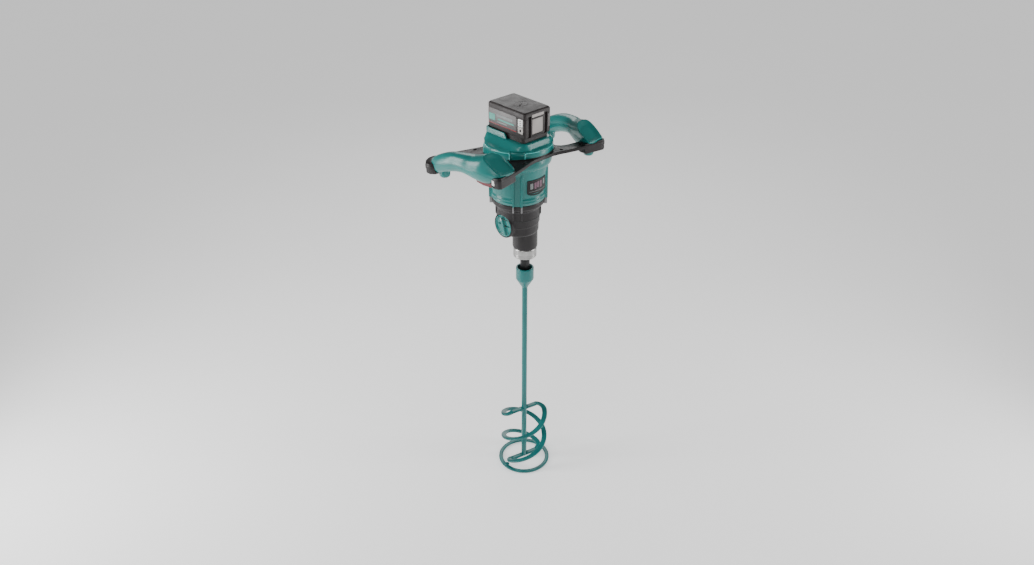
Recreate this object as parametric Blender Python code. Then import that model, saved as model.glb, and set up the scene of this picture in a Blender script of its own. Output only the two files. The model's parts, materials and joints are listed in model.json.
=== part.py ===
"""Cordless two-handed mortar mixer with a helical mixing paddle.

Sizes are in millimetres and become metres when a mesh is made. +Z is up. The origin lies on the
plane under the mixing ring, below the motor's axis. -Y is the front, away from the person who
holds it, and -X is the side with the trigger and the gear selector.
"""

import math

import bmesh
import bpy
from mathutils import Matrix, Vector

MM = 0.001
GAP = 0.3  # between pieces that touch
SEAM_PHASE = 0.05  # turns a bore's facets away from the edges of the solid it cuts

# ---- driving dimensions -------------------------------------------------------------------
SPINDLE = (22.0, 0.0)  # the spindle's axis; the motor's axis is (0, 0)

RING_R, RING_WIDTH, RING_THICK = 70.0, 11.0, 6.0
BLADE_R, BLADE_WIDTH, BLADE_THICK = 63.0, 14.0, 5.6
BLADE_BEND = 15.0
BLADE_ANGLE = math.radians(-13)
BLADE_TOP, BLADE_BOTTOM = 174.0, RING_THICK + GAP + BLADE_THICK / 2
ROD_R, ROD_BOTTOM, ROD_TOP = 7.0, 6.6, 575.0
CUP_R, CUP_CONE, CUP_SHOULDER, CUP_TOP = 22.3, 565.0, 585.0, 617.0
CUP_RECESS_R, CUP_FLOOR = 17.0, 605.0
STUD_R, STUD_BOTTOM = 7.0, 584.0
HEX_FLATS, HEX_TOP, HEX_SHOULDER = 22.0, 677.5, 605.4

COLLAR_R, COLLAR_LOW, COLLAR_TOP = 28.5, 650.0, 676.7
NOSE_R, NOSE_LOW, NOSE_TOP = 16.5, 651.0, 680.0
NECK_R, NECK_LOW, NECK_BORE_R = 30.5, 677.0, 21.8
SPINDLE_R, SPINDLE_TOP = 10.0, 806.0

BARREL_R, BARREL_LOW, BARREL_WALL = 50.5, 731.0, 4.0
FLANGE_R, FLANGE_LOW, FLANGE_TOP = 62.3, 796.0, 820.0
BRIDGE_LOW, BRIDGE_TOP = 799.0, 807.0
RIB_LOW, RIB_OUT, RIB_HALF = 779.0, 9.8, 2.3
BARREL_STEP = 757.0
SCREW_CIRCLE = 57.4
KNOB_Z, KNOB_R, BOSS_R, BOSS_X = 756.0, 27.0, 30.5, -49.5
KNOB_X, KNOB_LEAN, SELECTOR_R = -46.5, math.radians(18), 8.0

BODY_R, BODY_WALL = 65.0, 3.5
BODY_LOW = FLANGE_TOP + GAP
HANDLE_Z, HANDLE_TILT = 934.0, math.radians(-5.4)
PLATE_THICK, PLATE_HOLE_R = 7.0, 50.0
TIP_UP, TIP_DOWN, TIP_CROWN = 4.0, 20.0, 3.0
COVER_R, COVER_TOP = 80.0, 960.0

BATTERY_HALF_X, BATTERY_FRONT, BATTERY_REAR = 40.0, -62.0, 58.5
RAIL_LOW, BATTERY_LOW, BATTERY_TOP, LID_LOW = 974.0, 986.0, 1045.0, 1030.0
DECK_TOP, PEDESTAL_TOP = 974.0, 986.0
PEDESTAL_HALF_X, PEDESTAL_REAR = BATTERY_HALF_X + 5.2, BATTERY_REAR + 4.5

# Gear train: motor pinion and wheel, then layshaft pinion and spindle wheel.
PINION_TEETH, WHEEL_TEETH, FIRST_MODULE = 12, 36, 0.75
LAY_TEETH, SPINDLE_TEETH, SECOND_MODULE = 14, 46, 1.0
FIRST_CENTRES = FIRST_MODULE * (PINION_TEETH + WHEEL_TEETH) / 2
SECOND_CENTRES = SECOND_MODULE * (LAY_TEETH + SPINDLE_TEETH) / 2
LAYSHAFT_X = (SPINDLE[0] ** 2 + FIRST_CENTRES**2 - SECOND_CENTRES**2) / (2 * SPINDLE[0])
LAYSHAFT = (LAYSHAFT_X, math.sqrt(FIRST_CENTRES**2 - LAYSHAFT_X**2))

FINISHES = {
    "teal_plastic": ((0.0, 0.235, 0.225), 0.28, 0.0),
    "teal_paint": ((0.0, 0.19, 0.20), 0.35, 0.1),
    "dark_plastic": ((0.028, 0.026, 0.027), 0.45, 0.0),
    "black_rubber": ((0.012, 0.011, 0.011), 0.7, 0.0),
    "red_plastic": ((0.22, 0.006, 0.018), 0.4, 0.0),
    "grey_plastic": ((0.30, 0.28, 0.27), 0.4, 0.0),
    "white_plastic": ((0.75, 0.75, 0.73), 0.4, 0.0),
    "bright_steel": ((0.62, 0.61, 0.60), 0.25, 1.0),
    "dark_steel": ((0.05, 0.05, 0.05), 0.4, 0.8),
    "copper": ((0.6, 0.25, 0.1), 0.4, 1.0),
    "circuit_green": ((0.02, 0.12, 0.05), 0.5, 0.0),
}


# ---- scene and mesh helpers ---------------------------------------------------------------
def clear_scene():
    for obj in list(bpy.data.objects):
        bpy.data.objects.remove(obj)


def make_materials():
    made = {}
    for name, (colour, roughness, metallic) in FINISHES.items():
        material = bpy.data.materials.new(name)
        material.use_nodes = True
        shader = material.node_tree.nodes["Principled BSDF"]
        shader.inputs["Base Color"].default_value = (*colour, 1)
        shader.inputs["Roughness"].default_value = roughness
        shader.inputs["Metallic"].default_value = metallic
        made[name] = material
    return made


def add_object(name, bm, finish, parent=None):
    """The mesh in bm, in millimetres, as a named object in metres."""
    bmesh.ops.recalc_face_normals(bm, faces=bm.faces)
    bmesh.ops.scale(bm, vec=(MM, MM, MM), verts=bm.verts)
    mesh = bpy.data.meshes.new(name)
    bm.to_mesh(mesh)
    bm.free()
    mesh.materials.append(MATERIALS[finish])
    mesh.shade_smooth()
    mesh.set_sharp_from_angle(angle=math.radians(35))
    obj = bpy.data.objects.new(name, mesh)
    bpy.context.scene.collection.objects.link(obj)
    obj.parent = parent
    return obj


def add_cutter(name, bm, parent=None):
    """A helper solid that cuts or joins, and isn't part of the object."""
    obj = add_object(name, bm, "dark_plastic", parent)
    obj.hide_render = True
    obj.display_type = "WIRE"
    return obj


def boolean(obj, other, operation="DIFFERENCE", solver="EXACT"):
    modifier = obj.modifiers.new(f"{operation.lower()}_{other.name}", "BOOLEAN")
    modifier.solver = solver
    modifier.operation = operation
    modifier.object = other
    return obj


def bridge(bm, first, second):
    """Quads between two rings of vertices. A ring of one vertex is a point."""
    count = max(len(first), len(second))
    for i in range(count):
        j = (i + 1) % count
        corners = [first[i % len(first)], first[j % len(first)]]
        corners += [second[j % len(second)], second[i % len(second)]]
        distinct = list(dict.fromkeys(corners))
        if len(distinct) > 2:
            bm.faces.new(distinct)


def loft(sections, closed=False):
    """A solid through rings of points with the same count, capped unless it closes on itself."""
    bm = bmesh.new()
    rings = [[bm.verts.new(point) for point in section] for section in sections]
    for first, second in zip(rings, rings[1:]):
        bridge(bm, first, second)
    if closed:
        bridge(bm, rings[-1], rings[0])
    else:
        for ring in (rings[0], rings[-1]):
            if len(ring) > 2:
                bm.faces.new(ring)
    return bm


def turned(profile, centre=(0, 0), segments=32, phase=0.0):
    """A profile of (radius, height) turned about a vertical axis, closed on itself or on the axis."""
    sections = []
    for radius, height in profile:
        if radius < 1e-6:
            sections.append([(centre[0], centre[1], height)])
            continue
        section = []
        for i in range(segments):
            angle = phase + 2 * math.pi * i / segments
            x, y = centre[0] + radius * math.cos(angle), centre[1] + radius * math.sin(angle)
            section.append((x, y, height))
        sections.append(section)
    return loft(sections, closed=profile[0][0] > 1e-6)


def ring(inner, outer, low, high, centre=(0, 0), segments=32):
    return turned([(inner, low), (outer, low), (outer, high), (inner, high)], centre, segments)


def disc(radius, low, high, centre=(0, 0), segments=32):
    return turned([(0, low), (radius, low), (radius, high), (0, high)], centre, segments)


def lying(bm, centre, axis="X"):
    """Turns a solid made about the vertical axis onto the X or Y axis, and moves it to centre."""
    turn = Matrix.Rotation(math.radians(90), 4, "Y" if axis == "X" else "X")
    bmesh.ops.transform(bm, matrix=Matrix.Translation(centre) @ turn, verts=bm.verts)
    return bm


def prism(outline, low, high):
    return loft([[(x, y, low) for x, y in outline], [(x, y, high) for x, y in outline]])


def block(low, high, chamfer=0.0):
    """A box between two corners, with its upright edges chamfered."""
    (x0, y0, z0), (x1, y1, z1) = low, high
    middle_x, middle_y = (x0 + x1) / 2, (y0 + y1) / 2
    return prism(chamfered_rectangle(middle_x, middle_y, (x1 - x0) / 2, (y1 - y0) / 2, chamfer), z0, z1)


def chamfered_rectangle(cx, cy, half_x, half_y, chamfer):
    if chamfer <= 0:
        return [(cx + sx * half_x, cy + sy * half_y) for sx, sy in ((-1, -1), (1, -1), (1, 1), (-1, 1))]
    points = []
    for sx, sy in ((1, -1), (1, 1), (-1, 1), (-1, -1)):
        near_y = (cx + sx * half_x, cy + sy * (half_y - chamfer))
        near_x = (cx + sx * (half_x - chamfer), cy + sy * half_y)
        points += [near_x, near_y] if sx * sy < 0 else [near_y, near_x]
    return points


def rounded_rectangle(cx, cy, half_x, half_y, radius, steps=4):
    """An outline with round corners, anticlockwise from the lower right."""
    points = []
    for corner, (sx, sy) in enumerate(((1, -1), (1, 1), (-1, 1), (-1, -1))):
        for step in range(steps + 1):
            angle = math.radians(-90 + 90 * corner + 90 * step / steps)
            x = cx + sx * (half_x - radius) + radius * math.cos(angle)
            y = cy + sy * (half_y - radius) + radius * math.sin(angle)
            points.append((x, y))
    return points


def add_empty(name, location, tilt=0.0):
    empty = bpy.data.objects.new(name, None)
    empty.location = Vector(location) * MM
    empty.rotation_euler = (tilt, 0, 0)
    bpy.context.scene.collection.objects.link(empty)
    return empty


# ---- gears --------------------------------------------------------------------------------
GEAR_PRESSURE = math.radians(20)
GEAR_ADDENDUM, GEAR_DEDENDUM, GEAR_BACKLASH = 0.7, 1.0, 0.2


def involute(angle):
    return math.tan(angle) - angle


def gear_outline(teeth, module, centre, phase):
    """Straight-flanked teeth through an involute's tip and root widths; a tooth is centred on phase."""
    pitch = teeth * module / 2
    base = pitch * math.cos(GEAR_PRESSURE)
    tip, root = pitch + GEAR_ADDENDUM * module, pitch - GEAR_DEDENDUM * module
    half_pitch = (math.pi * module / 2 - GEAR_BACKLASH * module) / (2 * pitch)

    def half_width(radius):
        at = math.acos(min(1.0, base / radius))
        return half_pitch + involute(GEAR_PRESSURE) - involute(at)

    points = []
    for tooth in range(teeth):
        middle = phase + 2 * math.pi * tooth / teeth
        for radius, side in ((root, -1), (tip, -1), (tip, 1), (root, 1)):
            angle = middle + side * half_width(max(radius, base))
            points.append((centre[0] + radius * math.cos(angle), centre[1] + radius * math.sin(angle)))
    return points


def meshed_phase(teeth, centre, phase, other_teeth, other_centre):
    """The phase at which a second gear's gap faces the first gear's tooth."""
    towards = math.atan2(other_centre[1] - centre[1], other_centre[0] - centre[0])
    share = (towards - phase) * teeth / (2 * math.pi)
    return towards + math.pi - (0.5 - share) * 2 * math.pi / other_teeth


def gear(name, teeth, module, low, high, bore, centre, phase):
    obj = add_object(name, prism(gear_outline(teeth, module, centre, phase), low, high), "bright_steel")
    boolean(obj, add_cutter(f"cut_{name}", disc(bore, low - 2, high + 2, centre, 20)))
    return obj


# ---- paddle -------------------------------------------------------------------------------
BEND_STEPS, TURN_STEPS = 5, 26
RING_EDGE = 1.0


def blade_path(start):
    """Points along one blade: out from the rod, a bend, nearly a turn downwards, a bend, and back."""
    radius = BLADE_R - BLADE_WIDTH / 2
    bend_centre_r = radius - BLADE_BEND
    swing = math.asin(BLADE_BEND / bend_centre_r)
    reach = math.sqrt(bend_centre_r**2 - BLADE_BEND**2)
    plan = [(ROD_R + GAP, 0.0), (reach, 0.0)]
    for step in range(1, BEND_STEPS):
        angle = math.radians(90) * step / BEND_STEPS
        plan.append((reach + BLADE_BEND * math.sin(angle), -BLADE_BEND + BLADE_BEND * math.cos(angle)))
    for step in range(TURN_STEPS + 1):
        angle = -swing - (2 * math.pi - 2 * swing) * step / TURN_STEPS
        plan.append((radius * math.cos(angle), radius * math.sin(angle)))
    plan += [(x, -y) for x, y in reversed(plan[:BEND_STEPS + 1])]
    lengths = [0.0]
    for (x0, y0), (x1, y1) in zip(plan, plan[1:]):
        lengths.append(lengths[-1] + math.hypot(x1 - x0, y1 - y0))
    first, last = lengths[1], lengths[-2]
    points = []
    for (x, y), length in zip(plan, lengths):
        share = min(1.0, max(0.0, (length - first) / (last - first)))
        height = BLADE_TOP + (BLADE_BOTTOM - BLADE_TOP) * share
        c, s = math.cos(start), math.sin(start)
        points.append((SPINDLE[0] + c * x - s * y, SPINDLE[1] + s * x + c * y, height))
    return points


def flat_bar(points, width, thick):
    """A flat bar along points, its width level and its thickness upright."""
    sections = []
    for i, (x, y, z) in enumerate(points):
        before, after = points[max(i - 1, 0)], points[min(i + 1, len(points) - 1)]
        along = Vector((after[0] - before[0], after[1] - before[1]))
        along.normalize()
        side = Vector((-along.y, along.x)) * width / 2
        sections.append([
            (x + side.x, y + side.y, z - thick / 2),
            (x + side.x, y + side.y, z + thick / 2),
            (x - side.x, y - side.y, z + thick / 2),
            (x - side.x, y - side.y, z - thick / 2),
        ])
    return loft(sections)


def build_paddle():
    inner, shoulder = RING_R - RING_WIDTH, RING_R - RING_EDGE
    add_object("mixing_ring", turned([
        (inner, 0), (shoulder, 0), (RING_R, RING_EDGE), (RING_R, RING_THICK - RING_EDGE),
        (shoulder, RING_THICK), (inner, RING_THICK),
    ], SPINDLE, 40), "teal_paint")
    for index in range(2):
        path = blade_path(BLADE_ANGLE + math.pi * index)
        add_object(f"helical_blade_{index + 1}", flat_bar(path, BLADE_WIDTH, BLADE_THICK), "teal_paint")
    add_object("paddle_rod", disc(ROD_R, ROD_BOTTOM, ROD_TOP, SPINDLE, 16), "teal_paint")
    add_object("paddle_cup", turned([
        (ROD_R + GAP, CUP_CONE), (ROD_R + 3, CUP_CONE), (CUP_R, CUP_SHOULDER), (CUP_R, CUP_TOP - 1),
        (CUP_R - 1, CUP_TOP), (CUP_RECESS_R, CUP_TOP), (CUP_RECESS_R, CUP_FLOOR),
        (STUD_R + GAP, CUP_FLOOR),
        (STUD_R + GAP, STUD_BOTTOM - 1), (2, STUD_BOTTOM - 1), (2, ROD_TOP + GAP),
        (ROD_R + GAP, ROD_TOP + GAP),
    ], SPINDLE, 22), "teal_paint")
    corner_r = HEX_FLATS / 2 / math.cos(math.pi / 6)
    adapter = add_object("hex_adapter", turned([
        (0, HEX_SHOULDER), (corner_r, HEX_SHOULDER), (corner_r, HEX_TOP - 2), (corner_r - 2, HEX_TOP),
        (0, HEX_TOP),
    ], SPINDLE, 6), "dark_steel")
    stud = disc(STUD_R, STUD_BOTTOM, HEX_SHOULDER + 2, SPINDLE, 16)
    boolean(adapter, add_cutter("join_stud", stud), "UNION")


# ---- spindle and quick-release coupling ---------------------------------------------------
BALL_R, BALL_AT, BALL_Z = 3.0, 14.1, 673.2
CIRCLIP_LOW, CIRCLIP_HIGH = 653.0, 654.6
SPRING_LOW, SPRING_HIGH = CIRCLIP_HIGH + GAP, 669.7
COLLAR_BORE_R, COLLAR_LIP_R = 23.2, NOSE_R + 0.7
SOCKET_PLAY = 0.7


def coil(centre, radius, wire, low, high, turns, per_turn=12, sides=4):
    """A compression spring's wire, its ends left square."""
    sections = []
    count = int(turns * per_turn)
    for i in range(count + 1):
        angle = 2 * math.pi * i / per_turn
        z = low + wire + (high - low - 2 * wire) * i / count
        out = Vector((math.cos(angle), math.sin(angle), 0))
        middle = Vector((centre[0], centre[1], z)) + out * radius
        section = []
        for side in range(sides):
            around = 2 * math.pi * side / sides
            section.append(
                middle + out * wire * math.cos(around) + Vector((0, 0, wire * math.sin(around)))
            )
        sections.append(section)
    return loft(sections)


def build_coupling():
    spindle = add_object("output_spindle", turned([
        (0, NOSE_LOW), (NOSE_R - 1, NOSE_LOW), (NOSE_R, NOSE_LOW + 1), (NOSE_R, NOSE_TOP),
        (SPINDLE_R, NOSE_TOP),
        (SPINDLE_R, 738), (9, 738), (9, 756), (7, 756), (7, SPINDLE_TOP), (0, SPINDLE_TOP),
    ], SPINDLE, 24), "bright_steel")
    socket_r = (HEX_FLATS + SOCKET_PLAY) / 2 / math.cos(math.pi / 6)
    boolean(spindle, add_cutter("cut_socket", disc(socket_r, NOSE_LOW - 2, HEX_TOP + 0.6, SPINDLE, 6)))
    for side in (0, 1):
        out = 1 if side else -1
        hole = lying(disc(BALL_R + 0.3, -5, 5, segments=12), (SPINDLE[0], out * 15.0, BALL_Z), "Y")
        boolean(spindle, add_cutter(f"cut_ball_{side}", hole))
        ball = bmesh.new()
        bmesh.ops.create_icosphere(ball, subdivisions=2, radius=BALL_R)
        bmesh.ops.translate(ball, vec=(SPINDLE[0], out * BALL_AT, BALL_Z), verts=ball.verts)
        add_object(f"locking_ball_{side + 1}", ball, "bright_steel")
    add_object("coupling_collar", turned([
        (COLLAR_BORE_R, COLLAR_LOW), (COLLAR_R - 2.5, COLLAR_LOW), (COLLAR_R, COLLAR_LOW + 2.5),
        (COLLAR_R, COLLAR_TOP - 1.5),
        (COLLAR_R - 1.5, COLLAR_TOP), (COLLAR_LIP_R, COLLAR_TOP), (COLLAR_LIP_R, SPRING_HIGH + GAP),
        (COLLAR_BORE_R, SPRING_HIGH + GAP),
    ], SPINDLE, 28), "bright_steel")
    add_object(
        "coupling_circlip", ring(NOSE_R + GAP, 22.4, CIRCLIP_LOW, CIRCLIP_HIGH, SPINDLE, 24), "dark_steel"
    )
    add_object("collar_spring", coil(SPINDLE, 20.0, 0.9, SPRING_LOW, SPRING_HIGH, 3.5), "bright_steel")


# ---- gearbox ------------------------------------------------------------------------------
def build_gearbox():
    """The cast gearbox: a barrel about the motor's axis, a selector boss, and a neck about the spindle."""
    housing = add_object("gearbox_housing", turned([
        (0, BARREL_LOW), (BARREL_R - 5, BARREL_LOW), (BARREL_R - 2, BARREL_LOW + 4),
        (BARREL_R - 2, BARREL_STEP - 2), (BARREL_R, BARREL_STEP),
        (BARREL_R + 0.8, FLANGE_LOW - 22), (BARREL_R + 1.8, FLANGE_LOW - 21),
        (BARREL_R + 1.8, FLANGE_LOW),
        (FLANGE_R, FLANGE_LOW + 12), (FLANGE_R, FLANGE_TOP), (0, FLANGE_TOP),
    ], segments=36), "dark_plastic")
    neck = add_cutter("join_neck", turned([
        (0, NECK_LOW), (NECK_R - 2, NECK_LOW), (NECK_R, NECK_LOW + 2), (NECK_R + 0.3, BARREL_LOW + 6),
        (0, BARREL_LOW + 6),
    ], SPINDLE, 30))
    boolean(housing, neck, "UNION")
    boss = lying(disc(BOSS_R, BOSS_X, 5, segments=30), (0, 0, KNOB_Z))
    boolean(housing, add_cutter("join_boss", boss), "UNION")
    for index in range(4):
        turn = Matrix.Rotation(math.radians(45 + 90 * index), 3, "Z")
        for side in (-1, 1):
            rib = prism(
                chamfered_rectangle(49, side * RIB_OUT, 5, RIB_HALF, 0.8), RIB_LOW, FLANGE_LOW + 7
            )
            bmesh.ops.rotate(rib, cent=(0, 0, 0), matrix=turn, verts=rib.verts)
            boolean(housing, add_cutter(f"join_flange_rib_{index}_{side}", rib), "UNION")
    inner_r = BARREL_R - BARREL_WALL
    cavity = turned([
        (0, BARREL_LOW + 5), (inner_r - 0.5, BARREL_LOW + 5), (inner_r - 0.5, 757), (inner_r, 759),
        (inner_r, BRIDGE_LOW - GAP),
        (inner_r + 1.6, BRIDGE_LOW - GAP), (inner_r + 1.6, BRIDGE_TOP + GAP),
        (inner_r + 5, FLANGE_TOP - 6),
        (inner_r + 5, FLANGE_TOP + 2), (0, FLANGE_TOP + 2),
    ], segments=32, phase=SEAM_PHASE)
    cavity = add_cutter("cut_gearbox", cavity)
    pad = block((BOSS_X - 5, -31, BARREL_LOW + 1), (BOSS_X + 8.5, 31, KNOB_Z + BOSS_R))
    boolean(cavity, add_cutter("keep_selector_pad", pad))
    boolean(housing, cavity)
    bore = turned([
        (0, NECK_LOW - 2), (18.5, NECK_LOW - 2), (18.5, 680.5), (NECK_BORE_R, 680.5), (NECK_BORE_R, 706),
        (15, 706), (15, BARREL_LOW + 8), (0, BARREL_LOW + 8),
    ], SPINDLE, 24, SEAM_PHASE)
    boolean(housing, add_cutter("cut_neck_bore", bore))
    for index in range(4):
        angle = math.radians(45 + 90 * index)
        centre = (SCREW_CIRCLE * math.cos(angle), SCREW_CIRCLE * math.sin(angle))
        hole = turned(
            [(0, 790), (4, 790), (4, 807), (2.3, 807), (2.3, FLANGE_TOP + 2), (0, FLANGE_TOP + 2)],
            centre, 10,
        )
        boolean(housing, add_cutter(f"cut_flange_screw_{index}", hole))
    shaft_way = lying(disc(SELECTOR_R + GAP, BOSS_X - 2, -37.9, segments=20), (0, 0, KNOB_Z))
    boolean(housing, add_cutter("cut_selector", shaft_way))
    recess = lying(disc(KNOB_R + 1.2, BOSS_X - 8, BOSS_X + 5, segments=30), (0, 0, KNOB_Z))
    boolean(housing, add_cutter("cut_knob_recess", recess))
    build_gear_train()
    build_selector()


def build_gear_train():
    bridge_r = BARREL_R - BARREL_WALL + 1.3
    bridge_plate = add_object(
        "bearing_bridge", disc(bridge_r, BRIDGE_LOW, BRIDGE_TOP, segments=36), "bright_steel"
    )
    low, high = BRIDGE_LOW + 0.5, BRIDGE_TOP - 0.5
    seats = (
        ("motor_bearing_lower", (0, 0), 4.0 + GAP, 8.0, "bright_steel"),
        ("layshaft_bush_upper", LAYSHAFT, 4.05, 6.0, "copper"),
        ("spindle_bearing_upper", SPINDLE, 7.0 + GAP, 11.0, "bright_steel"),
    )
    for name, centre, inner, outer, finish in seats:
        seat = disc(outer + GAP, BRIDGE_LOW - 2, BRIDGE_TOP + 2, centre, 24)
        boolean(bridge_plate, add_cutter(f"cut_{name}_seat", seat))
        add_object(name, ring(inner, outer, low, high, centre, 24), finish)
    inner, outer = SPINDLE_R + GAP, NECK_BORE_R - GAP
    add_object("spindle_bearing_lower", ring(inner, outer, 692, 704, SPINDLE, 28), "bright_steel")
    add_object("spindle_seal", ring(inner, outer, 682, 689, SPINDLE, 28), "black_rubber")
    bush = ring(4.05, 6.5, BARREL_LOW + 5 + GAP, 739.5, LAYSHAFT, 20)
    add_object("layshaft_bush_lower", bush, "copper")

    pinion_phase = 0.0
    wheel_phase = meshed_phase(PINION_TEETH, (0, 0), pinion_phase, WHEEL_TEETH, LAYSHAFT)
    lay_phase = 0.0
    spindle_phase = meshed_phase(LAY_TEETH, LAYSHAFT, lay_phase, SPINDLE_TEETH, SPINDLE)
    gear("motor_pinion", PINION_TEETH, FIRST_MODULE, 784, 797, 2.3, (0, 0), pinion_phase)
    gear("layshaft_wheel", WHEEL_TEETH, FIRST_MODULE, 786, 796, 4.3, LAYSHAFT, wheel_phase)
    gear("layshaft_pinion", LAY_TEETH, SECOND_MODULE, 740, 755, 4.3, LAYSHAFT, lay_phase)
    gear("spindle_wheel", SPINDLE_TEETH, SECOND_MODULE, 741, 754, 9.3, SPINDLE, spindle_phase)
    add_object("layshaft", disc(4, BARREL_LOW + 6.5, BRIDGE_TOP - 0.5, LAYSHAFT, 16), "bright_steel")


SLEEVE_R, SLEEVE_GROOVE_R, SLEEVE_LOW, SLEEVE_HIGH = 9.5, 7.5, 762.0, 776.0
FORK_LOW, FORK_HIGH = 766.5, 771.5
TAB_X, PIN_OFFSET = -37.0, 4.0


def build_selector():
    """The two-speed selector: a knob turns an eccentric pin that lifts a fork and its sleeve."""
    middle = (SLEEVE_LOW + SLEEVE_HIGH) / 2
    add_object("shift_sleeve", turned([
        (4.2, SLEEVE_LOW), (SLEEVE_R, SLEEVE_LOW), (SLEEVE_R, middle - 3), (SLEEVE_GROOVE_R, middle - 3),
        (SLEEVE_GROOVE_R, middle + 3), (SLEEVE_R, middle + 3), (SLEEVE_R, SLEEVE_HIGH),
        (4.2, SLEEVE_HIGH),
    ], LAYSHAFT, 20), "bright_steel")
    cx, cy = LAYSHAFT
    fork = add_object("shift_fork", prism([
        (cx + 6, cy - 12), (cx + 6, cy + 12), (cx - 13, cy + 12), (TAB_X, 13), (TAB_X, -3),
        (cx - 13, cy - 10), (cx - 8, cy - 12),
    ], FORK_LOW, FORK_HIGH), "bright_steel")
    groove_r = SLEEVE_GROOVE_R + 0.4
    boolean(fork, add_cutter("cut_fork_bore", disc(groove_r, FORK_LOW - 2, FORK_HIGH + 2, LAYSHAFT, 20)))
    mouth = block((cx, cy - groove_r, FORK_LOW - 2), (cx + 20, cy + groove_r, FORK_HIGH + 2))
    boolean(fork, add_cutter("cut_fork_mouth", mouth))
    pin_y, pin_z = PIN_OFFSET, KNOB_Z - PIN_OFFSET
    tab = block((TAB_X, -3, pin_z - 7), (TAB_X + 2.6, 13, FORK_HIGH - 0.5))
    boolean(fork, add_cutter("join_fork_tab", tab), "UNION")
    slot = block((TAB_X - 2, pin_y - 3, pin_z - 2.5), (TAB_X + 5, pin_y + 5, pin_z + 2.5))
    boolean(fork, add_cutter("cut_fork_slot", slot))

    knob_face = KNOB_X - 5.5
    knob = add_object("selector_knob", lying(turned([
        (0, KNOB_X + 1.5), (KNOB_R, KNOB_X + 1.5), (KNOB_R, KNOB_X - 1.5), (KNOB_R - 1.5, KNOB_X - 3),
        (0, KNOB_X - 3),
    ], segments=36), (0, 0, KNOB_Z)), "teal_plastic")
    grip_bar = prism(chamfered_rectangle(0, 0, KNOB_R - 0.8, 6.0, 3.5), knob_face, KNOB_X)
    bmesh.ops.rotate(
        grip_bar, cent=(0, 0, 0), matrix=Matrix.Rotation(-KNOB_LEAN, 3, "Z"), verts=grip_bar.verts
    )
    grip_bar = lying(grip_bar, (0, 0, KNOB_Z))
    boolean(knob, add_cutter("join_knob_bar", grip_bar), "UNION")
    shaft = lying(disc(SELECTOR_R, KNOB_X + 1.5 + GAP, -38.5, segments=20), (0, 0, KNOB_Z))
    shaft = add_object("selector_shaft", shaft, "dark_steel")
    pin = lying(disc(2.0, -40, TAB_X + 3, segments=12), (0, pin_y, pin_z))
    boolean(shaft, add_cutter("join_eccentric_pin", pin), "UNION")


# ---- motor --------------------------------------------------------------------------------
STATOR_R, ROTOR_R, SHAFT_R = 34.0, 19.5, 4.0


def build_motor():
    add_object("motor_shaft", turned([
        (0, 783), (2, 783), (2, 797.5), (SHAFT_R, 797.5), (SHAFT_R, 917), (0, 917),
    ], segments=16), "bright_steel")
    add_object("rotor_core", ring(SHAFT_R + GAP, ROTOR_R, 838, 880, segments=24), "dark_steel")
    stator = add_object("stator_core", ring(ROTOR_R + 0.6, STATOR_R, 836, 882, segments=36), "dark_steel")
    for index in range(6):
        angle = math.radians(60 * index)
        slot = prism(chamfered_rectangle(26.5, 0, 4.5, 3.2, 1), 834, 884)
        bmesh.ops.rotate(slot, cent=(0, 0, 0), matrix=Matrix.Rotation(angle, 3, "Z"), verts=slot.verts)
        boolean(stator, add_cutter(f"cut_stator_slot_{index}", slot))
    fan = add_object("cooling_fan", ring(SHAFT_R + GAP, 30, 890, 892, segments=28), "grey_plastic")
    boolean(fan, add_cutter("join_fan_hub", ring(SHAFT_R + GAP, 8, 890.5, 901, segments=28)), "UNION")
    for index in range(7):
        angle = 2 * math.pi * index / 7
        blade = prism(chamfered_rectangle(19, 0, 10.2, 1.0, 0.4), 891, 900)
        lean, turn = Matrix.Rotation(math.radians(20), 3, "Z"), Matrix.Rotation(angle, 3, "Z")
        bmesh.ops.rotate(blade, cent=(19, 0, 0), matrix=lean, verts=blade.verts)
        bmesh.ops.rotate(blade, cent=(0, 0, 0), matrix=turn, verts=blade.verts)
        boolean(fan, add_cutter(f"join_fan_blade_{index}", blade), "UNION")
    add_object("motor_bearing_upper", ring(SHAFT_R + GAP, 8, 908.5, 914.5, segments=20), "bright_steel")
    bracket = add_object("upper_bearing_bracket", ring(8.3, 57.5, 907, 915, segments=32), "dark_plastic")
    for index in range(6):
        angle = math.radians(30 + 60 * index)
        port = disc(12.3, 905, 918, (33.5 * math.cos(angle), 33.5 * math.sin(angle)), 10)
        boolean(bracket, add_cutter(f"cut_bracket_port_{index}", port))


# ---- motor housing and top cover ----------------------------------------------------------
PILLAR_WIDTH, PILLAR_TOP = 24.4, 906.0
SHOULDER_R = 76.5
PLATE_LOW, PLATE_HIGH, PLATE_ANGLE = 850.0, 884.0, 26.0


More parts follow.
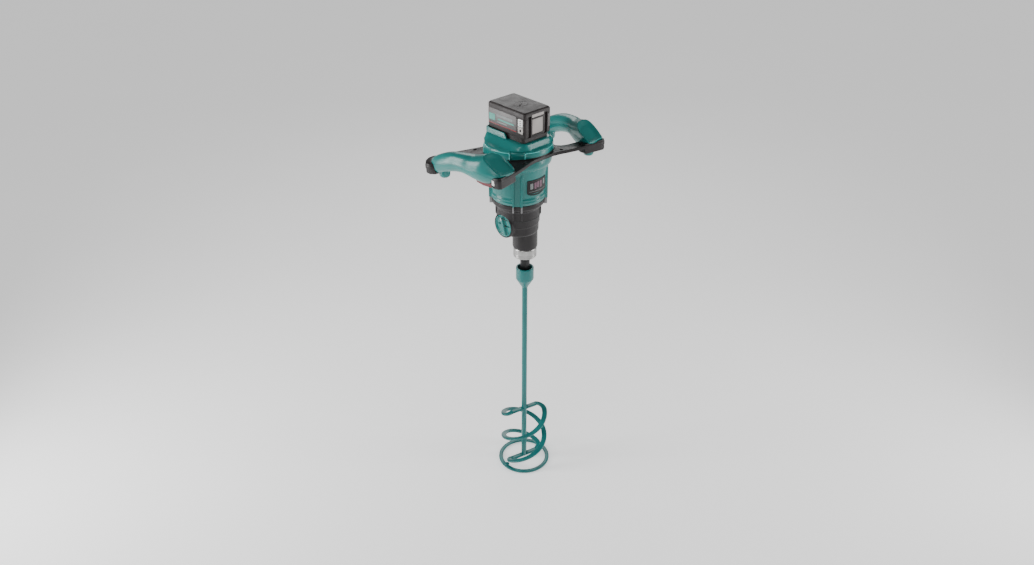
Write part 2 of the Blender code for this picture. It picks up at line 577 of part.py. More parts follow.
def build_motor_housing():
    housing = add_object("motor_housing", turned([
        (BODY_R - 8, BODY_LOW), (BODY_R - 2.8, BODY_LOW), (BODY_R - 1.0, BODY_LOW + 3),
        (BODY_R - 1.0, BODY_LOW + 15),
        (BODY_R - 2.2, BODY_LOW + 18), (BODY_R, 880), (BODY_R + 3, 905), (SHOULDER_R, 912),
        (SHOULDER_R + 0.5, 946),
        (58, 946), (58, 906), (BODY_R - BODY_WALL, 900), (BODY_R - 6.5, BODY_LOW + 8),
    ], segments=40), "teal_plastic")
    for index in range(4):
        turn = Matrix.Rotation(math.radians(45 + 90 * index), 3, "Z")
        pillar = prism(
            chamfered_rectangle(60.5, 0, 7.5, PILLAR_WIDTH / 2, 2), BODY_LOW + 0.02, PILLAR_TOP
        )
        bmesh.ops.rotate(pillar, cent=(0, 0, 0), matrix=turn, verts=pillar.verts)
        boolean(housing, add_cutter(f"join_pillar_{index}", pillar), "UNION")
        boss = prism(chamfered_rectangle(SCREW_CIRCLE - 0.5, 0, 5, 5, 1), BODY_LOW + 0.04, 856)
        bmesh.ops.rotate(boss, cent=(0, 0, 0), matrix=turn, verts=boss.verts)
        boolean(housing, add_cutter(f"join_screw_boss_{index}", boss), "UNION")
        channel = prism(chamfered_rectangle(69.2, 0, 3.6, 7.4, 1.5), BODY_LOW - 2, PILLAR_TOP - 4)
        bmesh.ops.rotate(channel, cent=(0, 0, 0), matrix=turn, verts=channel.verts)
        boolean(housing, add_cutter(f"cut_channel_{index}", channel))
        angle = math.radians(45 + 90 * index)
        centre = (SCREW_CIRCLE * math.cos(angle), SCREW_CIRCLE * math.sin(angle))
        boolean(
            housing, add_cutter(f"cut_housing_screw_{index}", disc(2.3, BODY_LOW - 2, 851, centre, 10))
        )
    boolean(
        housing, add_cutter("join_stator_seat", ring(STATOR_R + GAP, 62, 850, 868, segments=36)), "UNION"
    )
    for index in range(6):
        angle = math.radians(30 * (2 * index + 1))
        port = disc(9.5, 848, 870, (47 * math.cos(angle), 47 * math.sin(angle)), 10)
        boolean(housing, add_cutter(f"cut_air_port_{index}", port))
    above = block((-110, -110, -PLATE_THICK - GAP), (110, 110, 60))
    boolean(housing, add_cutter("cut_housing_top", above, HANDLE))
    for index in range(5):
        vent = block((-19 + 7.6 * index, 55, 870.5), (-15.5 + 7.6 * index, 75, 897))
        boolean(housing, add_cutter(f"cut_rear_vent_{index}", vent))
    plate = prism(arc_band(64.9, 66.6, PLATE_ANGLE), PLATE_LOW, PLATE_HIGH)
    add_object("nameplate", plate, "dark_plastic")
    recess = prism(arc_band(64.5, 80, PLATE_ANGLE + 0.6), PLATE_LOW - 0.6, PLATE_HIGH + 0.6)
    boolean(housing, add_cutter("cut_nameplate", recess))


def arc_band(inner, outer, half_angle, steps=8):
    """The plan of a curved plate on the front, between two radii and half_angle degrees each way."""
    points = []
    for radius, way in ((outer, 1), (inner, -1)):
        for step in range(steps + 1):
            angle = math.radians(-90 - way * half_angle + way * 2 * half_angle * step / steps)
            points.append((radius * math.cos(angle), radius * math.sin(angle)))
    return points


def build_top_cover():
    """A round cover with a raised deck for the battery, and a pedestal wall round its rear half."""
    cover = add_object("top_cover", turned([
        (0, 922), (COVER_R - 1, 922), (COVER_R, 950), (COVER_R - 3, COVER_TOP), (0, COVER_TOP),
    ], segments=40), "teal_plastic")
    deck = loft([
        [(x, y, COVER_TOP - 3) for x, y in rounded_rectangle(0, 0, 64, 68, 36, 4)],
        [(x, y, COVER_TOP + 5) for x, y in rounded_rectangle(0, 0, 58, 66, 28, 4)],
        [(x, y, DECK_TOP) for x, y in rounded_rectangle(0, 0, 46, 63, 16, 4)],
    ])
    boolean(cover, add_cutter("join_deck", deck), "UNION")
    pedestal = prism([
        (COVER_TOP - 2, -20), (COVER_TOP - 2, PEDESTAL_REAR), (PEDESTAL_TOP, PEDESTAL_REAR),
        (PEDESTAL_TOP, -2),
        (DECK_TOP - 1, -14),
    ], -PEDESTAL_HALF_X, PEDESTAL_HALF_X)
    turn = Matrix(((0, 0, 1), (0, 1, 0), (1, 0, 0)))
    bmesh.ops.transform(pedestal, matrix=turn.to_4x4(), verts=pedestal.verts)
    boolean(cover, add_cutter("join_pedestal", pedestal), "UNION")
    half = BATTERY_HALF_X + 0.6
    bay = block((-half, -90, RAIL_LOW - 0.4), (half, BATTERY_REAR + 0.8, PEDESTAL_TOP + 5))
    boolean(cover, add_cutter("cut_battery_bay", bay))
    inside = turned([
        (0, 900), (COVER_R - 4, 900), (COVER_R - 4, 948), (COVER_R - 7, COVER_TOP - 4),
        (0, COVER_TOP - 4),
    ], segments=32)
    boolean(cover, add_cutter("cut_cover_inside", inside))
    below = block((-120, -120, -80), (120, 120, GAP))
    boolean(cover, add_cutter("cut_cover_base", below, HANDLE))
    build_electronics()


def build_electronics():
    add_object("control_board", block((-46, -40, 948), (46, 40, 950), 6), "circuit_green")
    terminals = block((-20, 30, RAIL_LOW - GAP), (20, 44, RAIL_LOW + 7), 1)
    add_object("terminal_block", terminals, "grey_plastic")


# ---- handle frame -------------------------------------------------------------------------
def frame_outline():
    """The handle plate seen from above, in the handle's own tilted frame. The right half, mirrored."""
    right = [
        (0, -81.3), (29, -81.8), (48, -86.5), (68, -94), (106, -106), (146, -116), (159, -118.4),
        (165, -114), (168, -102),
        (164, -88), (148, -79), (118, -71), (92, -65.5), (79, -58), (72.5, -46), (79, -20), (81, 0),
        (80.5, 14), (86, 34),
        (104, 46), (134, 57), (166, 62), (190, 68), (197, 80), (196, 94), (184, 108), (168, 118.4),
        (158, 119), (95, 107),
        (65, 95.5), (38, 84.5), (0, 81.5),
    ]
    return right + [(-x, y) for x, y in reversed(right[1:-1])]


def tip_outline(front):
    """The thick pad at the end of an arm, on the +X side."""
    if front:
        return [
            (110, -84), (108, -106), (146, -115), (158.6, -117.4), (164, -113.4), (167, -102),
            (163, -88.8), (146, -82),
        ]
    return [
        (150, 72), (149, 115.6), (158, 117.4), (167.6, 117), (183.2, 107.4), (195, 93.6), (196, 80.4),
        (189.4, 69), (172, 67),
    ]


def tip_pad(outline, crown):
    """The pad's solid: a chamfered base, upright sides and a top that rises by crown towards its middle."""
    cx = sum(x for x, y in outline) / len(outline)
    cy = sum(y for x, y in outline) / len(outline)
    levels = ((-TIP_DOWN, 0.93), (-TIP_DOWN + 3, 1.0), (TIP_UP, 1.0))
    levels += ((TIP_UP + crown, 0.72),) if crown else ()
    sections = []
    for z, share in levels:
        sections.append([(cx + (x - cx) * share, cy + (y - cy) * share, z) for x, y in outline])
    return loft(sections)


def build_handle_frame():
    plate = add_object("handle_frame", prism(frame_outline(), -PLATE_THICK, 0), "dark_plastic", HANDLE)
    hole = disc(PLATE_HOLE_R, -PLATE_THICK - 2, 2, segments=32)
    boolean(plate, add_cutter("cut_plate_hole", hole, HANDLE))
    for front in (True, False):
        for side in (1, -1):
            outline = [(side * x, y) for x, y in tip_outline(front)]
            name = f"{'front' if front else 'rear'}_{'plain' if side > 0 else 'trigger'}"
            pad = tip_pad(outline, 0.0 if front else TIP_CROWN)
            boolean(plate, add_cutter(f"join_tip_{name}", pad, HANDLE), "UNION")
            x, y = (side * 58, -80) if front else (side * 60, 82)
            counterbore = turned([
                (0, -PLATE_THICK - 2), (2.4, -PLATE_THICK - 2), (2.4, -3), (4.6, -3), (4.6, 2), (0, 2),
            ], (x, y), 12)
            boolean(plate, add_cutter(f"cut_screw_hole_{name}", counterbore, HANDLE))
    return plate


# ---- grips --------------------------------------------------------------------------------
# Stations along the +X grip, rear to front: y, inner x, outer x, top z, bottom z, inward lean of the top.
GRIP_STATIONS = (
    (90.0, 163.0, 179.0, 935.0, 914.0, 0.0),
    (86.0, 158.0, 185.0, 941.0, 909.5, 0.0),
    (76.0, 155.0, 189.0, 948.0, 906.5, 0.0),
    (60.0, 153.0, 191.5, 956.5, 911.0, 0.0),
    (40.0, 151.5, 191.0, 965.0, 919.5, 0.0),
    (20.0, 150.0, 189.5, 970.5, 926.5, 0.0),
    (2.0, 147.5, 187.0, 973.0, 930.5, 1.0),
    (-16.0, 142.5, 185.0, 974.5, 931.5, 2.0),
    (-32.0, 135.0, 183.0, 975.5, 928.5, 4.0),
    (-48.0, 127.5, 181.0, 980.0, 924.5, 6.0),
    (-64.0, 122.0, 178.5, 984.5, 922.5, 9.0),
    (-80.0, 118.0, 174.0, 983.0, 924.0, 12.0),
    (-94.0, 116.5, 169.0, 975.0, 932.0, 12.0),
    (-105.0, 116.0, 164.5, 964.0, 941.0, 11.0),
    (-112.0, 118.0, 159.0, 956.5, 947.0, 9.0),
)
GRIP_SIDES = 16
GRIP_SPLIT = (
    (140, 924), (96, 924), (60, 935), (20, 949), (-20, 953), (-60, 952), (-90, 946), (-140, 944)
)
GRIP_WALL = 3.0
FACE_Y, FACE_Z, FACE_SLOPE = -112.0, 953.0, math.radians(28.7)


def grip_loft(side, inset=0.0):
    """The grip's rounded tube. inset makes it smaller all round, or larger where it is negative."""
    sections = []
    count = len(GRIP_STATIONS)
    for index, (y, inner, outer, top, bottom, lean) in enumerate(GRIP_STATIONS):
        y += inset if index == count - 1 else -inset if index == 0 else 0
        half_x, half_z = (outer - inner) / 2 - inset, (top - bottom) / 2 - inset
        section = []
        for step in range(GRIP_SIDES):
            angle = 2 * math.pi * step / GRIP_SIDES
            c, s = math.cos(angle), math.sin(angle)
            up = math.copysign(abs(s) ** 0.85, s)
            x = (inner + outer) / 2 + half_x * math.copysign(abs(c) ** 0.85, c) - lean * max(0.0, up)
            section.append((side * x, y, (top + bottom) / 2 + half_z * up))
        sections.append(section)
    return loft(sections)


def face_cutter(name):
    """What lies above the sloping face on both grips' front ends."""
    above = block((-250, -60, 0), (250, 140, 80))
    turn = Matrix.Translation((0, FACE_Y, FACE_Z)) @ Matrix.Rotation(FACE_SLOPE, 4, "X")
    bmesh.ops.transform(above, matrix=turn, verts=above.verts)
    return add_cutter(name, above)


TRIGGER_X, TRIGGER_REAR, TRIGGER_FRONT, TRIGGER_HALF = -150.0, -32.0, -90.0, 9.0
BUTTON_X = -158.0
TRIGGER_PROFILE = (
    (-32.8, 932.0, 925.0), (-38, 934.0, 916.0), (-60, 934.0, 914.5), (-84, 934.0, 917.5),
    (-89.2, 932.0, 921.0),
)
FEET = (("rear", 165.0, 64.0, 896.5), ("front", 145.0, -83.0, 905.0))


def build_grip(kind, side, frame):
    """One grip of two shells, closed over the frame's tips."""
    boolean(frame, add_cutter(f"cut_frame_{kind}_grip", grip_loft(side, -0.8)))
    hollow = add_cutter(f"cut_{kind}_grip_inside", grip_loft(side, GRIP_WALL))
    if kind == "trigger":
        slot_half = TRIGGER_HALF + 0.6
        slot = block(
            (TRIGGER_X - slot_half, TRIGGER_FRONT - 0.8, 890),
            (TRIGGER_X + slot_half, TRIGGER_REAR + 0.8, 938),
        )
        trigger_slot = add_cutter("cut_trigger_slot", slot)
        way = block((-178, -103.8, 925.8), (BUTTON_X + 7.5, -92.2, 941.8))
        button_way = add_cutter("cut_button_way", way)
        boolean(frame, trigger_slot)
        boolean(frame, button_way)
    for half in ("upper", "lower"):
        shell = add_object(f"{kind}_grip_{half}_shell", grip_loft(side), "teal_plastic")
        boolean(shell, hollow, solver="MANIFOLD")
        if kind == "trigger":
            boolean(shell, trigger_slot, solver="MANIFOLD")
            boolean(shell, button_way, solver="MANIFOLD")
        boolean(shell, add_cutter(f"cut_{kind}_grip_{half}_half", grip_half(half)), solver="MANIFOLD")
        if half == "upper":
            rib = add_cutter(f"join_{kind}_grip_face", grip_loft(side, 0.4))
            behind = block((side * 170 - 60, -60, 800), (side * 170 + 60, 140, 1100))
            boolean(rib, add_cutter(f"cut_{kind}_grip_face", behind), solver="MANIFOLD")
            below = add_cutter(f"cut_{kind}_grip_face_below", away_under_face(side))
            boolean(rib, below, solver="MANIFOLD")
            boolean(shell, rib, "UNION", "MANIFOLD")
            boolean(shell, face_cutter(f"cut_{kind}_grip_slope"), solver="MANIFOLD")
    for place, x, y, low in FEET:
        if kind == "trigger" and place == "front":
            continue
        foot = turned([
            (0, low), (8, low), (11.5, low + 3), (12.6, low + 8), (12, low + 26), (0, low + 26),
        ], (side * x, y), 18)
        obj = add_object(f"{kind}_grip_foot_{place}", foot, "teal_plastic")
        boolean(obj, add_cutter(f"cut_{kind}_foot_{place}", grip_loft(side, -GAP)), solver="MANIFOLD")
        around_foot = disc(13.0, 880, 932, (side * x, y), 18)
        boolean(frame, add_cutter(f"cut_frame_{kind}_foot_{place}", around_foot))


def grip_half(half):
    """What a half shell loses: all that is past the seam, which runs along the grip's sides."""
    if half == "upper":
        outline = [*GRIP_SPLIT, (-140, 800), (140, 800)]
    else:
        outline = [*((y, z - GAP) for y, z in GRIP_SPLIT), (-140, 1100), (140, 1100)]
    away = prism([(z, y) for y, z in outline], -240, 240)
    turn = Matrix(((0, 0, 1), (0, 1, 0), (1, 0, 0)))
    bmesh.ops.transform(away, matrix=turn.to_4x4(), verts=away.verts)
    return away


def away_under_face(side):
    """What is more than a wall's thickness below the sloping face."""
    under = block((side * 170 - 60, -60, -80), (side * 170 + 60, 140, -GRIP_WALL))
    turn = Matrix.Translation((0, FACE_Y, FACE_Z)) @ Matrix.Rotation(FACE_SLOPE, 4, "X")
    bmesh.ops.transform(under, matrix=turn, verts=under.verts)
    return under


def build_trigger():
    x0, x1 = TRIGGER_X - TRIGGER_HALF, TRIGGER_X + TRIGGER_HALF
    sections = []
    for y, top, bottom in TRIGGER_PROFILE:
        sections.append([(x0, y, top), (x1, y, top), (x1, y, bottom), (x0, y, bottom)])
    add_object("trigger", loft(sections), "red_plastic")
    switch = block((TRIGGER_X - 7, -84, 940), (TRIGGER_X + 7, -52, 956), 1)
    add_object("switch_module", switch, "dark_plastic")
    button = block((BUTTON_X - 7, -103, 928.6), (BUTTON_X + 3, -93, 941), 1)
    add_object("lock_button", button, "white_plastic")


# ---- battery ------------------------------------------------------------------------------
SLOT_OUT, SLOT_HALF, SLOT_LOW, SLOT_TOP = 24.5, 4.0, 985.0, 1035.0
RELEASE_HALF, RELEASE_LOW, RELEASE_TOP = 16.0, 992.6, 1026.4
GAUGE_R, GAUGE_Y, GAUGE_Z = 3.5, -49.0, 1004.0


def battery_section(z, inset, front_inset=0.0):
    """A level cut through the battery, its sides drawn in by inset."""
    front, rear = BATTERY_FRONT + inset + front_inset, BATTERY_REAR - inset
    outline = rounded_rectangle(0, (front + rear) / 2, BATTERY_HALF_X - inset, (rear - front) / 2, 4, 2)
    return [(x, y, z) for x, y in outline]


def build_battery():
    half = BATTERY_HALF_X
    case = add_object("battery_case", loft([
        battery_section(RAIL_LOW, 2, 4), battery_section(BATTERY_LOW, 2, 4),
        battery_section(BATTERY_LOW + 0.02, 0.8), battery_section(BATTERY_LOW + 3, 0),
        battery_section(LID_LOW - GAP, 0),
    ]), "dark_plastic")
    inside = block(
        (-half + 4, BATTERY_FRONT + 9, BATTERY_LOW + 4), (half - 4, BATTERY_REAR - 4, LID_LOW + 2), 2
    )
    boolean(case, add_cutter("cut_battery_inside", inside))
    terminals = block((-22, 28, RAIL_LOW - 2), (22, 70, RAIL_LOW + 9))
    boolean(case, add_cutter("cut_battery_terminals", terminals))
    slot_cutters = []
    for side in (1, -1):
        left, right = side * SLOT_OUT - SLOT_HALF, side * SLOT_OUT + SLOT_HALF
        slot = block((left, BATTERY_FRONT - 2, SLOT_LOW), (right, BATTERY_FRONT + 4, SLOT_TOP))
        slot_cutters.append(add_cutter(f"cut_battery_slot_{side}", slot))
        boolean(case, slot_cutters[-1])
    space_half = RELEASE_HALF + 0.4
    panel_space = block(
        (-space_half, BATTERY_FRONT - 2, RELEASE_LOW - 0.6),
        (space_half, BATTERY_FRONT + 5.5, RELEASE_TOP + 0.6),
    )
    boolean(case, add_cutter("cut_battery_panel", panel_space))
    panel = block(
        (-RELEASE_HALF, BATTERY_FRONT + 0.4, RELEASE_LOW),
        (RELEASE_HALF, BATTERY_FRONT + 2.8, RELEASE_TOP),
    )
    add_object("battery_release", panel, "grey_plastic")
    button_space = lying(disc(GAUGE_R + 0.4, -half - 2, -half + 2.5, segments=12), (0, GAUGE_Y, GAUGE_Z))
    boolean(case, add_cutter("cut_gauge_button", button_space))
    button = lying(disc(GAUGE_R, -half - 0.3, -half + 1.2, segments=12), (0, GAUGE_Y, GAUGE_Z))
    add_object("gauge_button", button, "white_plastic")
    lid = add_object("battery_lid", loft([
        battery_section(LID_LOW, 0), battery_section(BATTERY_TOP - 3, 0.3),
        battery_section(BATTERY_TOP, 2.8),
    ]), "dark_plastic")
    for cutter in slot_cutters:
        boolean(lid, cutter)
    cells = block(
        (-half + 5, BATTERY_FRONT + 10, BATTERY_LOW + 5), (half - 5, BATTERY_REAR - 5, LID_LOW - 1), 2
    )
    add_object("battery_cells", cells, "grey_plastic")


def build_screws():
    """Screws up through the gearbox flange into the motor housing's four corners."""
    for index in range(4):
        angle = math.radians(45 + 90 * index)
        centre = (SCREW_CIRCLE * math.cos(angle), SCREW_CIRCLE * math.sin(angle))
        add_object(f"housing_screw_{index + 1}", turned([
            (0, 802.5), (3.5, 802.5), (3.5, 806.7), (2, 806.7), (2, 850), (0, 850),
        ], centre, 12), "dark_steel")


clear_scene()
MATERIALS = make_materials()
HANDLE = add_empty("handle_axes", (0, 0, HANDLE_Z), HANDLE_TILT)
build_paddle()
build_coupling()
build_gearbox()
build_motor()
build_motor_housing()
build_top_cover()
build_screws()
FRAME = build_handle_frame()
build_grip("trigger", -1, FRAME)
build_grip("plain", 1, FRAME)
build_trigger()
build_battery()
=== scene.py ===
"""Looks for the cordless two-handed mortar mixer: smooth pieces, materials, floor, lights and camera.

Sizes in this file are in millimetres and become metres when a piece is made. +Z is up, -Y is the
front and -X is the side with the trigger. The origin is under the mixing ring.
"""

import json
import math

import bmesh
import bpy
from mathutils import Matrix, Vector, noise


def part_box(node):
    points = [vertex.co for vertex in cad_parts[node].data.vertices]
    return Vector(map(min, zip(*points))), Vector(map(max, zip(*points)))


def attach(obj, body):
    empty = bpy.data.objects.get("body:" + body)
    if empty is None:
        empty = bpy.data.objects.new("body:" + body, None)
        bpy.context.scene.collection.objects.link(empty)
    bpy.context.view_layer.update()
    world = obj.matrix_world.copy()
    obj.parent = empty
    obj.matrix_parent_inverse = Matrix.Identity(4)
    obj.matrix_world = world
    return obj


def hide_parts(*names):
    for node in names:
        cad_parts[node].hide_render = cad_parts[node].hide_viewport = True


MM = 0.001
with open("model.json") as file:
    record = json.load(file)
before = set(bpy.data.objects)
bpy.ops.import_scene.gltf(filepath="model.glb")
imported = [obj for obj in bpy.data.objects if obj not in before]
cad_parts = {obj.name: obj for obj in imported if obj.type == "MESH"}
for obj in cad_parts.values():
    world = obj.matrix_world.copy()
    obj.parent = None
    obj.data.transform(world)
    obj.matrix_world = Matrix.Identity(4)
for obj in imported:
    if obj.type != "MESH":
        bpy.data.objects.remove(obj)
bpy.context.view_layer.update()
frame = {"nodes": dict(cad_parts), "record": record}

SPINDLE = (22.0, 0.0)
HANDLE_Z, HANDLE_TILT = 934.0, math.radians(-5.4)
PLATE_THICK = 7.0


# ---- materials ----------------------------------------------------------------------------
class Surface:
    """A material, its node tree and its shader."""

    def __init__(self, name, roughness, metallic=0.0, coat=0.0, specular=0.5):
        self.material = bpy.data.materials.new(name)
        self.material.use_nodes = True
        self.nodes = self.material.node_tree.nodes
        self.links = self.material.node_tree.links
        self.shader = self.nodes["Principled BSDF"]
        self.shader.inputs["Roughness"].default_value = roughness
        self.shader.inputs["Metallic"].default_value = metallic
        self.shader.inputs["Coat Weight"].default_value = coat
        self.shader.inputs["Coat Roughness"].default_value = 0.12
        self.shader.inputs["Specular IOR Level"].default_value = specular
        self.place = self.nodes.new("ShaderNodeTexCoord").outputs["Object"]
        self.height = None

    def stretched(self, stretch):
        """Object coordinates, stretched along each axis."""
        if stretch == (1, 1, 1):
            return self.place
        mapping = self.nodes.new("ShaderNodeMapping")
        mapping.inputs["Scale"].default_value = stretch
        self.links.new(self.place, mapping.inputs["Vector"])
        return mapping.outputs["Vector"]

    def noise(self, scale, detail=3.0, stretch=(1, 1, 1)):
        node = self.nodes.new("ShaderNodeTexNoise")
        node.inputs["Scale"].default_value = scale
        node.inputs["Detail"].default_value = detail
        self.links.new(self.stretched(stretch), node.inputs["Vector"])
        return node.outputs["Fac"]

    def cells(self, scale):
        node = self.nodes.new("ShaderNodeTexVoronoi")
        node.inputs["Scale"].default_value = scale
        self.links.new(self.place, node.inputs["Vector"])
        return node.outputs["Distance"]

    def ramp(self, factor, stops):
        """A colour ramp with a stop for each (position, colour)."""
        node = self.nodes.new("ShaderNodeValToRGB")
        elements = node.color_ramp.elements
        while len(elements) < len(stops):
            elements.new(0.5)
        for element, (position, colour) in zip(elements, stops):
            element.position = position
            element.color = (*colour, 1)
        self.links.new(factor, node.inputs["Fac"])
        return node.outputs["Color"]

    def mix(self, factor, first, second):
        node = self.nodes.new("ShaderNodeMix")
        node.data_type = "RGBA"
        self.links.new(factor, node.inputs[0])
        self.links.new(first, node.inputs[6])
        if hasattr(second, "links"):
            self.links.new(second, node.inputs[7])
        else:
            node.inputs[7].default_value = (*second, 1)
        return node.outputs[2]

    def colour(self, output):
        self.links.new(output, self.shader.inputs["Base Color"])

    def roughness(self, factor, low, high):
        node = self.nodes.new("ShaderNodeMapRange")
        node.inputs["To Min"].default_value = low
        node.inputs["To Max"].default_value = high
        self.links.new(factor, node.inputs["Value"])
        self.links.new(node.outputs["Result"], self.shader.inputs["Roughness"])

    def bump(self, factor, strength, distance):
        """Adds a layer of relief, its depth in metres."""
        node = self.nodes.new("ShaderNodeBump")
        node.inputs["Strength"].default_value = strength
        node.inputs["Distance"].default_value = distance
        self.links.new(factor, node.inputs["Height"])
        if self.height is not None:
            self.links.new(self.height, node.inputs["Normal"])
        self.height = node.outputs["Normal"]
        self.links.new(self.height, self.shader.inputs["Normal"])


def shade(colour, factor):
    return tuple(min(1.0, channel * factor) for channel in colour)


def moulded(name, colour, roughness, coat=0.0, grain=1100.0, depth=0.00006, spread=0.12):
    """Moulded plastic: a faint mottle, a fine spark-eroded grain and uneven gloss."""
    surface = Surface(name, roughness, coat=coat)
    broad = surface.noise(16.0, 2.0)
    body = surface.ramp(broad, [(0.3, shade(colour, 1 - spread)), (0.7, shade(colour, 1 + spread))])
    scuffs = surface.noise(70.0, 8.0, (1.0, 1.6, 0.7))
    scuff_mask = surface.ramp(scuffs, [(0.66, (0, 0, 0)), (0.74, (0.35, 0.35, 0.35))])
    surface.colour(surface.mix(scuff_mask, body, shade(colour, 1.5)))
    surface.roughness(surface.noise(45.0, 4.0), roughness - 0.06, roughness + 0.10)
    surface.bump(surface.noise(grain, 2.0), 0.35, depth)
    surface.bump(surface.noise(22.0, 1.0), 0.10, 0.0006)
    return surface.material


def leathered(name, colour, roughness):
    """Dark moulded plastic with a pebbled grain."""
    surface = Surface(name, roughness, specular=0.32)
    broad = surface.noise(24.0, 3.0)
    body = surface.ramp(broad, [(0.3, shade(colour, 0.8)), (0.7, shade(colour, 1.25))])
    dust = surface.ramp(surface.noise(130.0, 8.0), [(0.6, (0, 0, 0)), (0.78, (0.25, 0.25, 0.25))])
    surface.colour(surface.mix(dust, body, shade(colour, 3.2)))
    surface.roughness(surface.noise(60.0, 4.0), roughness - 0.08, roughness + 0.12)
    surface.bump(surface.cells(850.0), 0.35, 0.00012)
    surface.bump(surface.noise(1500.0, 2.0), 0.2, 0.00005)
    return surface.material


def enamelled(name, colour):
    """Dipped enamel on steel: orange peel, thin worn places and small dark chips."""
    surface = Surface(name, 0.34, coat=0.12)
    broad = surface.noise(20.0, 3.0, (1.0, 1.0, 0.4))
    body = surface.ramp(broad, [(0.3, shade(colour, 0.82)), (0.7, shade(colour, 1.2))])
    worn = surface.ramp(surface.noise(48.0, 7.0), [(0.66, (0, 0, 0)), (0.74, (0.4, 0.4, 0.4))])
    thin = surface.mix(worn, body, shade(colour, 1.7))
    chips = surface.ramp(surface.noise(150.0, 6.0), [(0.70, (0, 0, 0)), (0.73, (0.8, 0.8, 0.8))])
    surface.colour(surface.mix(chips, thin, (0.02, 0.05, 0.05)))
    surface.roughness(surface.noise(80.0, 3.0), 0.22, 0.42)
    surface.bump(surface.noise(260.0, 2.0), 0.25, 0.00025)
    return surface.material


def turned_metal(name, colour, roughness, stretch=(1.0, 1.0, 60.0)):
    """Turned steel: fine tool marks round the axis and soft smudges."""
    surface = Surface(name, roughness, metallic=1.0)
    marks = surface.noise(40.0, 6.0, stretch)
    surface.colour(surface.ramp(marks, [(0.3, shade(colour, 0.75)), (0.7, shade(colour, 1.15))]))
    surface.roughness(surface.noise(30.0, 4.0), roughness - 0.08, roughness + 0.14)
    surface.bump(marks, 0.3, 0.00008)
    return surface.material


def plain_metal(name, colour, roughness, metallic=1.0):
    surface = Surface(name, roughness, metallic=metallic)
    surface.colour(
        surface.ramp(surface.noise(60.0, 5.0), [(0.3, shade(colour, 0.7)), (0.7, shade(colour, 1.3))])
    )
    surface.roughness(surface.noise(90.0, 4.0), roughness - 0.08, roughness + 0.15)
    surface.bump(surface.noise(700.0, 3.0), 0.25, 0.00008)
    return surface.material


TEAL = (0.0, 0.172, 0.158)
MATERIALS = {
    "teal_plastic": moulded("teal_plastic", TEAL, 0.30, coat=0.12),
    # A much lighter teal: a painted highlight for the crests of the cover's beads.
    "teal_painted_highlight": moulded("teal_painted_highlight", (0.10, 0.60, 0.56), 0.18, coat=0.6),
    "teal_deep": moulded("teal_deep", (0.0, 0.10, 0.10), 0.35, coat=0.2),
    "teal_paint": enamelled("teal_paint", (0.0, 0.140, 0.138)),
    "dark_plastic": leathered("dark_plastic", (0.016, 0.014, 0.015), 0.40),
    "cast_dark": leathered("cast_dark", (0.018, 0.016, 0.017), 0.36),
    "battery_plastic": leathered("battery_plastic", (0.026, 0.021, 0.021), 0.42),
    # Near-black for vent slots and slots: painted shade standing for the dark inside of openings.
    "recess_painted_shade": moulded("recess_painted_shade", (0.006, 0.006, 0.006), 0.6),
    "black_rubber": leathered("black_rubber", (0.009, 0.008, 0.008), 0.6),
    "red_plastic": moulded("red_plastic", (0.13, 0.004, 0.012), 0.42),
    "grey_plastic": moulded("grey_plastic", (0.40, 0.37, 0.35), 0.38),
    "label_grey": moulded("label_grey", (0.10, 0.093, 0.092), 0.38, spread=0.06),
    "label_light": moulded("label_light", (0.20, 0.225, 0.225), 0.35),
    "label_mint": moulded("label_mint", (0.05, 0.33, 0.27), 0.35),
    "label_red": moulded("label_red", (0.35, 0.02, 0.03), 0.3),
    "label_pink": moulded("label_pink", (0.17, 0.08, 0.12), 0.35),
    "white_plastic": moulded("white_plastic", (0.78, 0.78, 0.76), 0.35),
    # Light grey for the tails of the gearbox ribs: a painted highlight on what is dark plastic.
    "rib_painted_highlight_grey": moulded("rib_painted_highlight_grey", (0.20, 0.20, 0.205), 0.3, coat=0.2),
    "seam_black": moulded("seam_black", (0.012, 0.016, 0.016), 0.5),
    "bright_steel": turned_metal("bright_steel", (0.40, 0.395, 0.39), 0.27),
    "dark_steel": plain_metal("dark_steel", (0.025, 0.025, 0.026), 0.38, 0.7),
    "copper": plain_metal("copper", (0.62, 0.30, 0.13), 0.35),
    "circuit_green": moulded("circuit_green", (0.02, 0.12, 0.05), 0.35),
    "cell_wrap": moulded("cell_wrap", (0.10, 0.16, 0.30), 0.3),
}


# ---- mesh helpers -------------------------------------------------------------------------
def rows_mesh(rows, ring=True, capped=True):
    """A surface through rows of points with the same count. ring joins each row's two ends."""
    bm = bmesh.new()
    grid = [[bm.verts.new(point) for point in row] for row in rows]
    count = len(rows[0])
    for first, second in zip(grid, grid[1:]):
        for i in range(count if ring else count - 1):
            j = (i + 1) % count
            bm.faces.new((first[i], first[j], second[j], second[i]))
    if capped:
        bm.faces.new(grid[0])
        bm.faces.new(grid[-1])
    return bm


def bake(obj):
    """Puts what the modifiers make into the object's own mesh."""
    graph = bpy.context.evaluated_depsgraph_get()
    mesh = bpy.data.meshes.new_from_object(obj.evaluated_get(graph))
    obj.modifiers.clear()
    obj.data = mesh


def new_object(name, bm, unit=MM):
    bmesh.ops.remove_doubles(bm, verts=bm.verts, dist=1e-4)
    bmesh.ops.recalc_face_normals(bm, faces=bm.faces)
    bmesh.ops.scale(bm, vec=(unit, unit, unit), verts=bm.verts)
    mesh = bpy.data.meshes.new(name)
    bm.to_mesh(mesh)
    bm.free()
    obj = bpy.data.objects.new(name, mesh)
    bpy.context.scene.collection.objects.link(obj)
    return obj


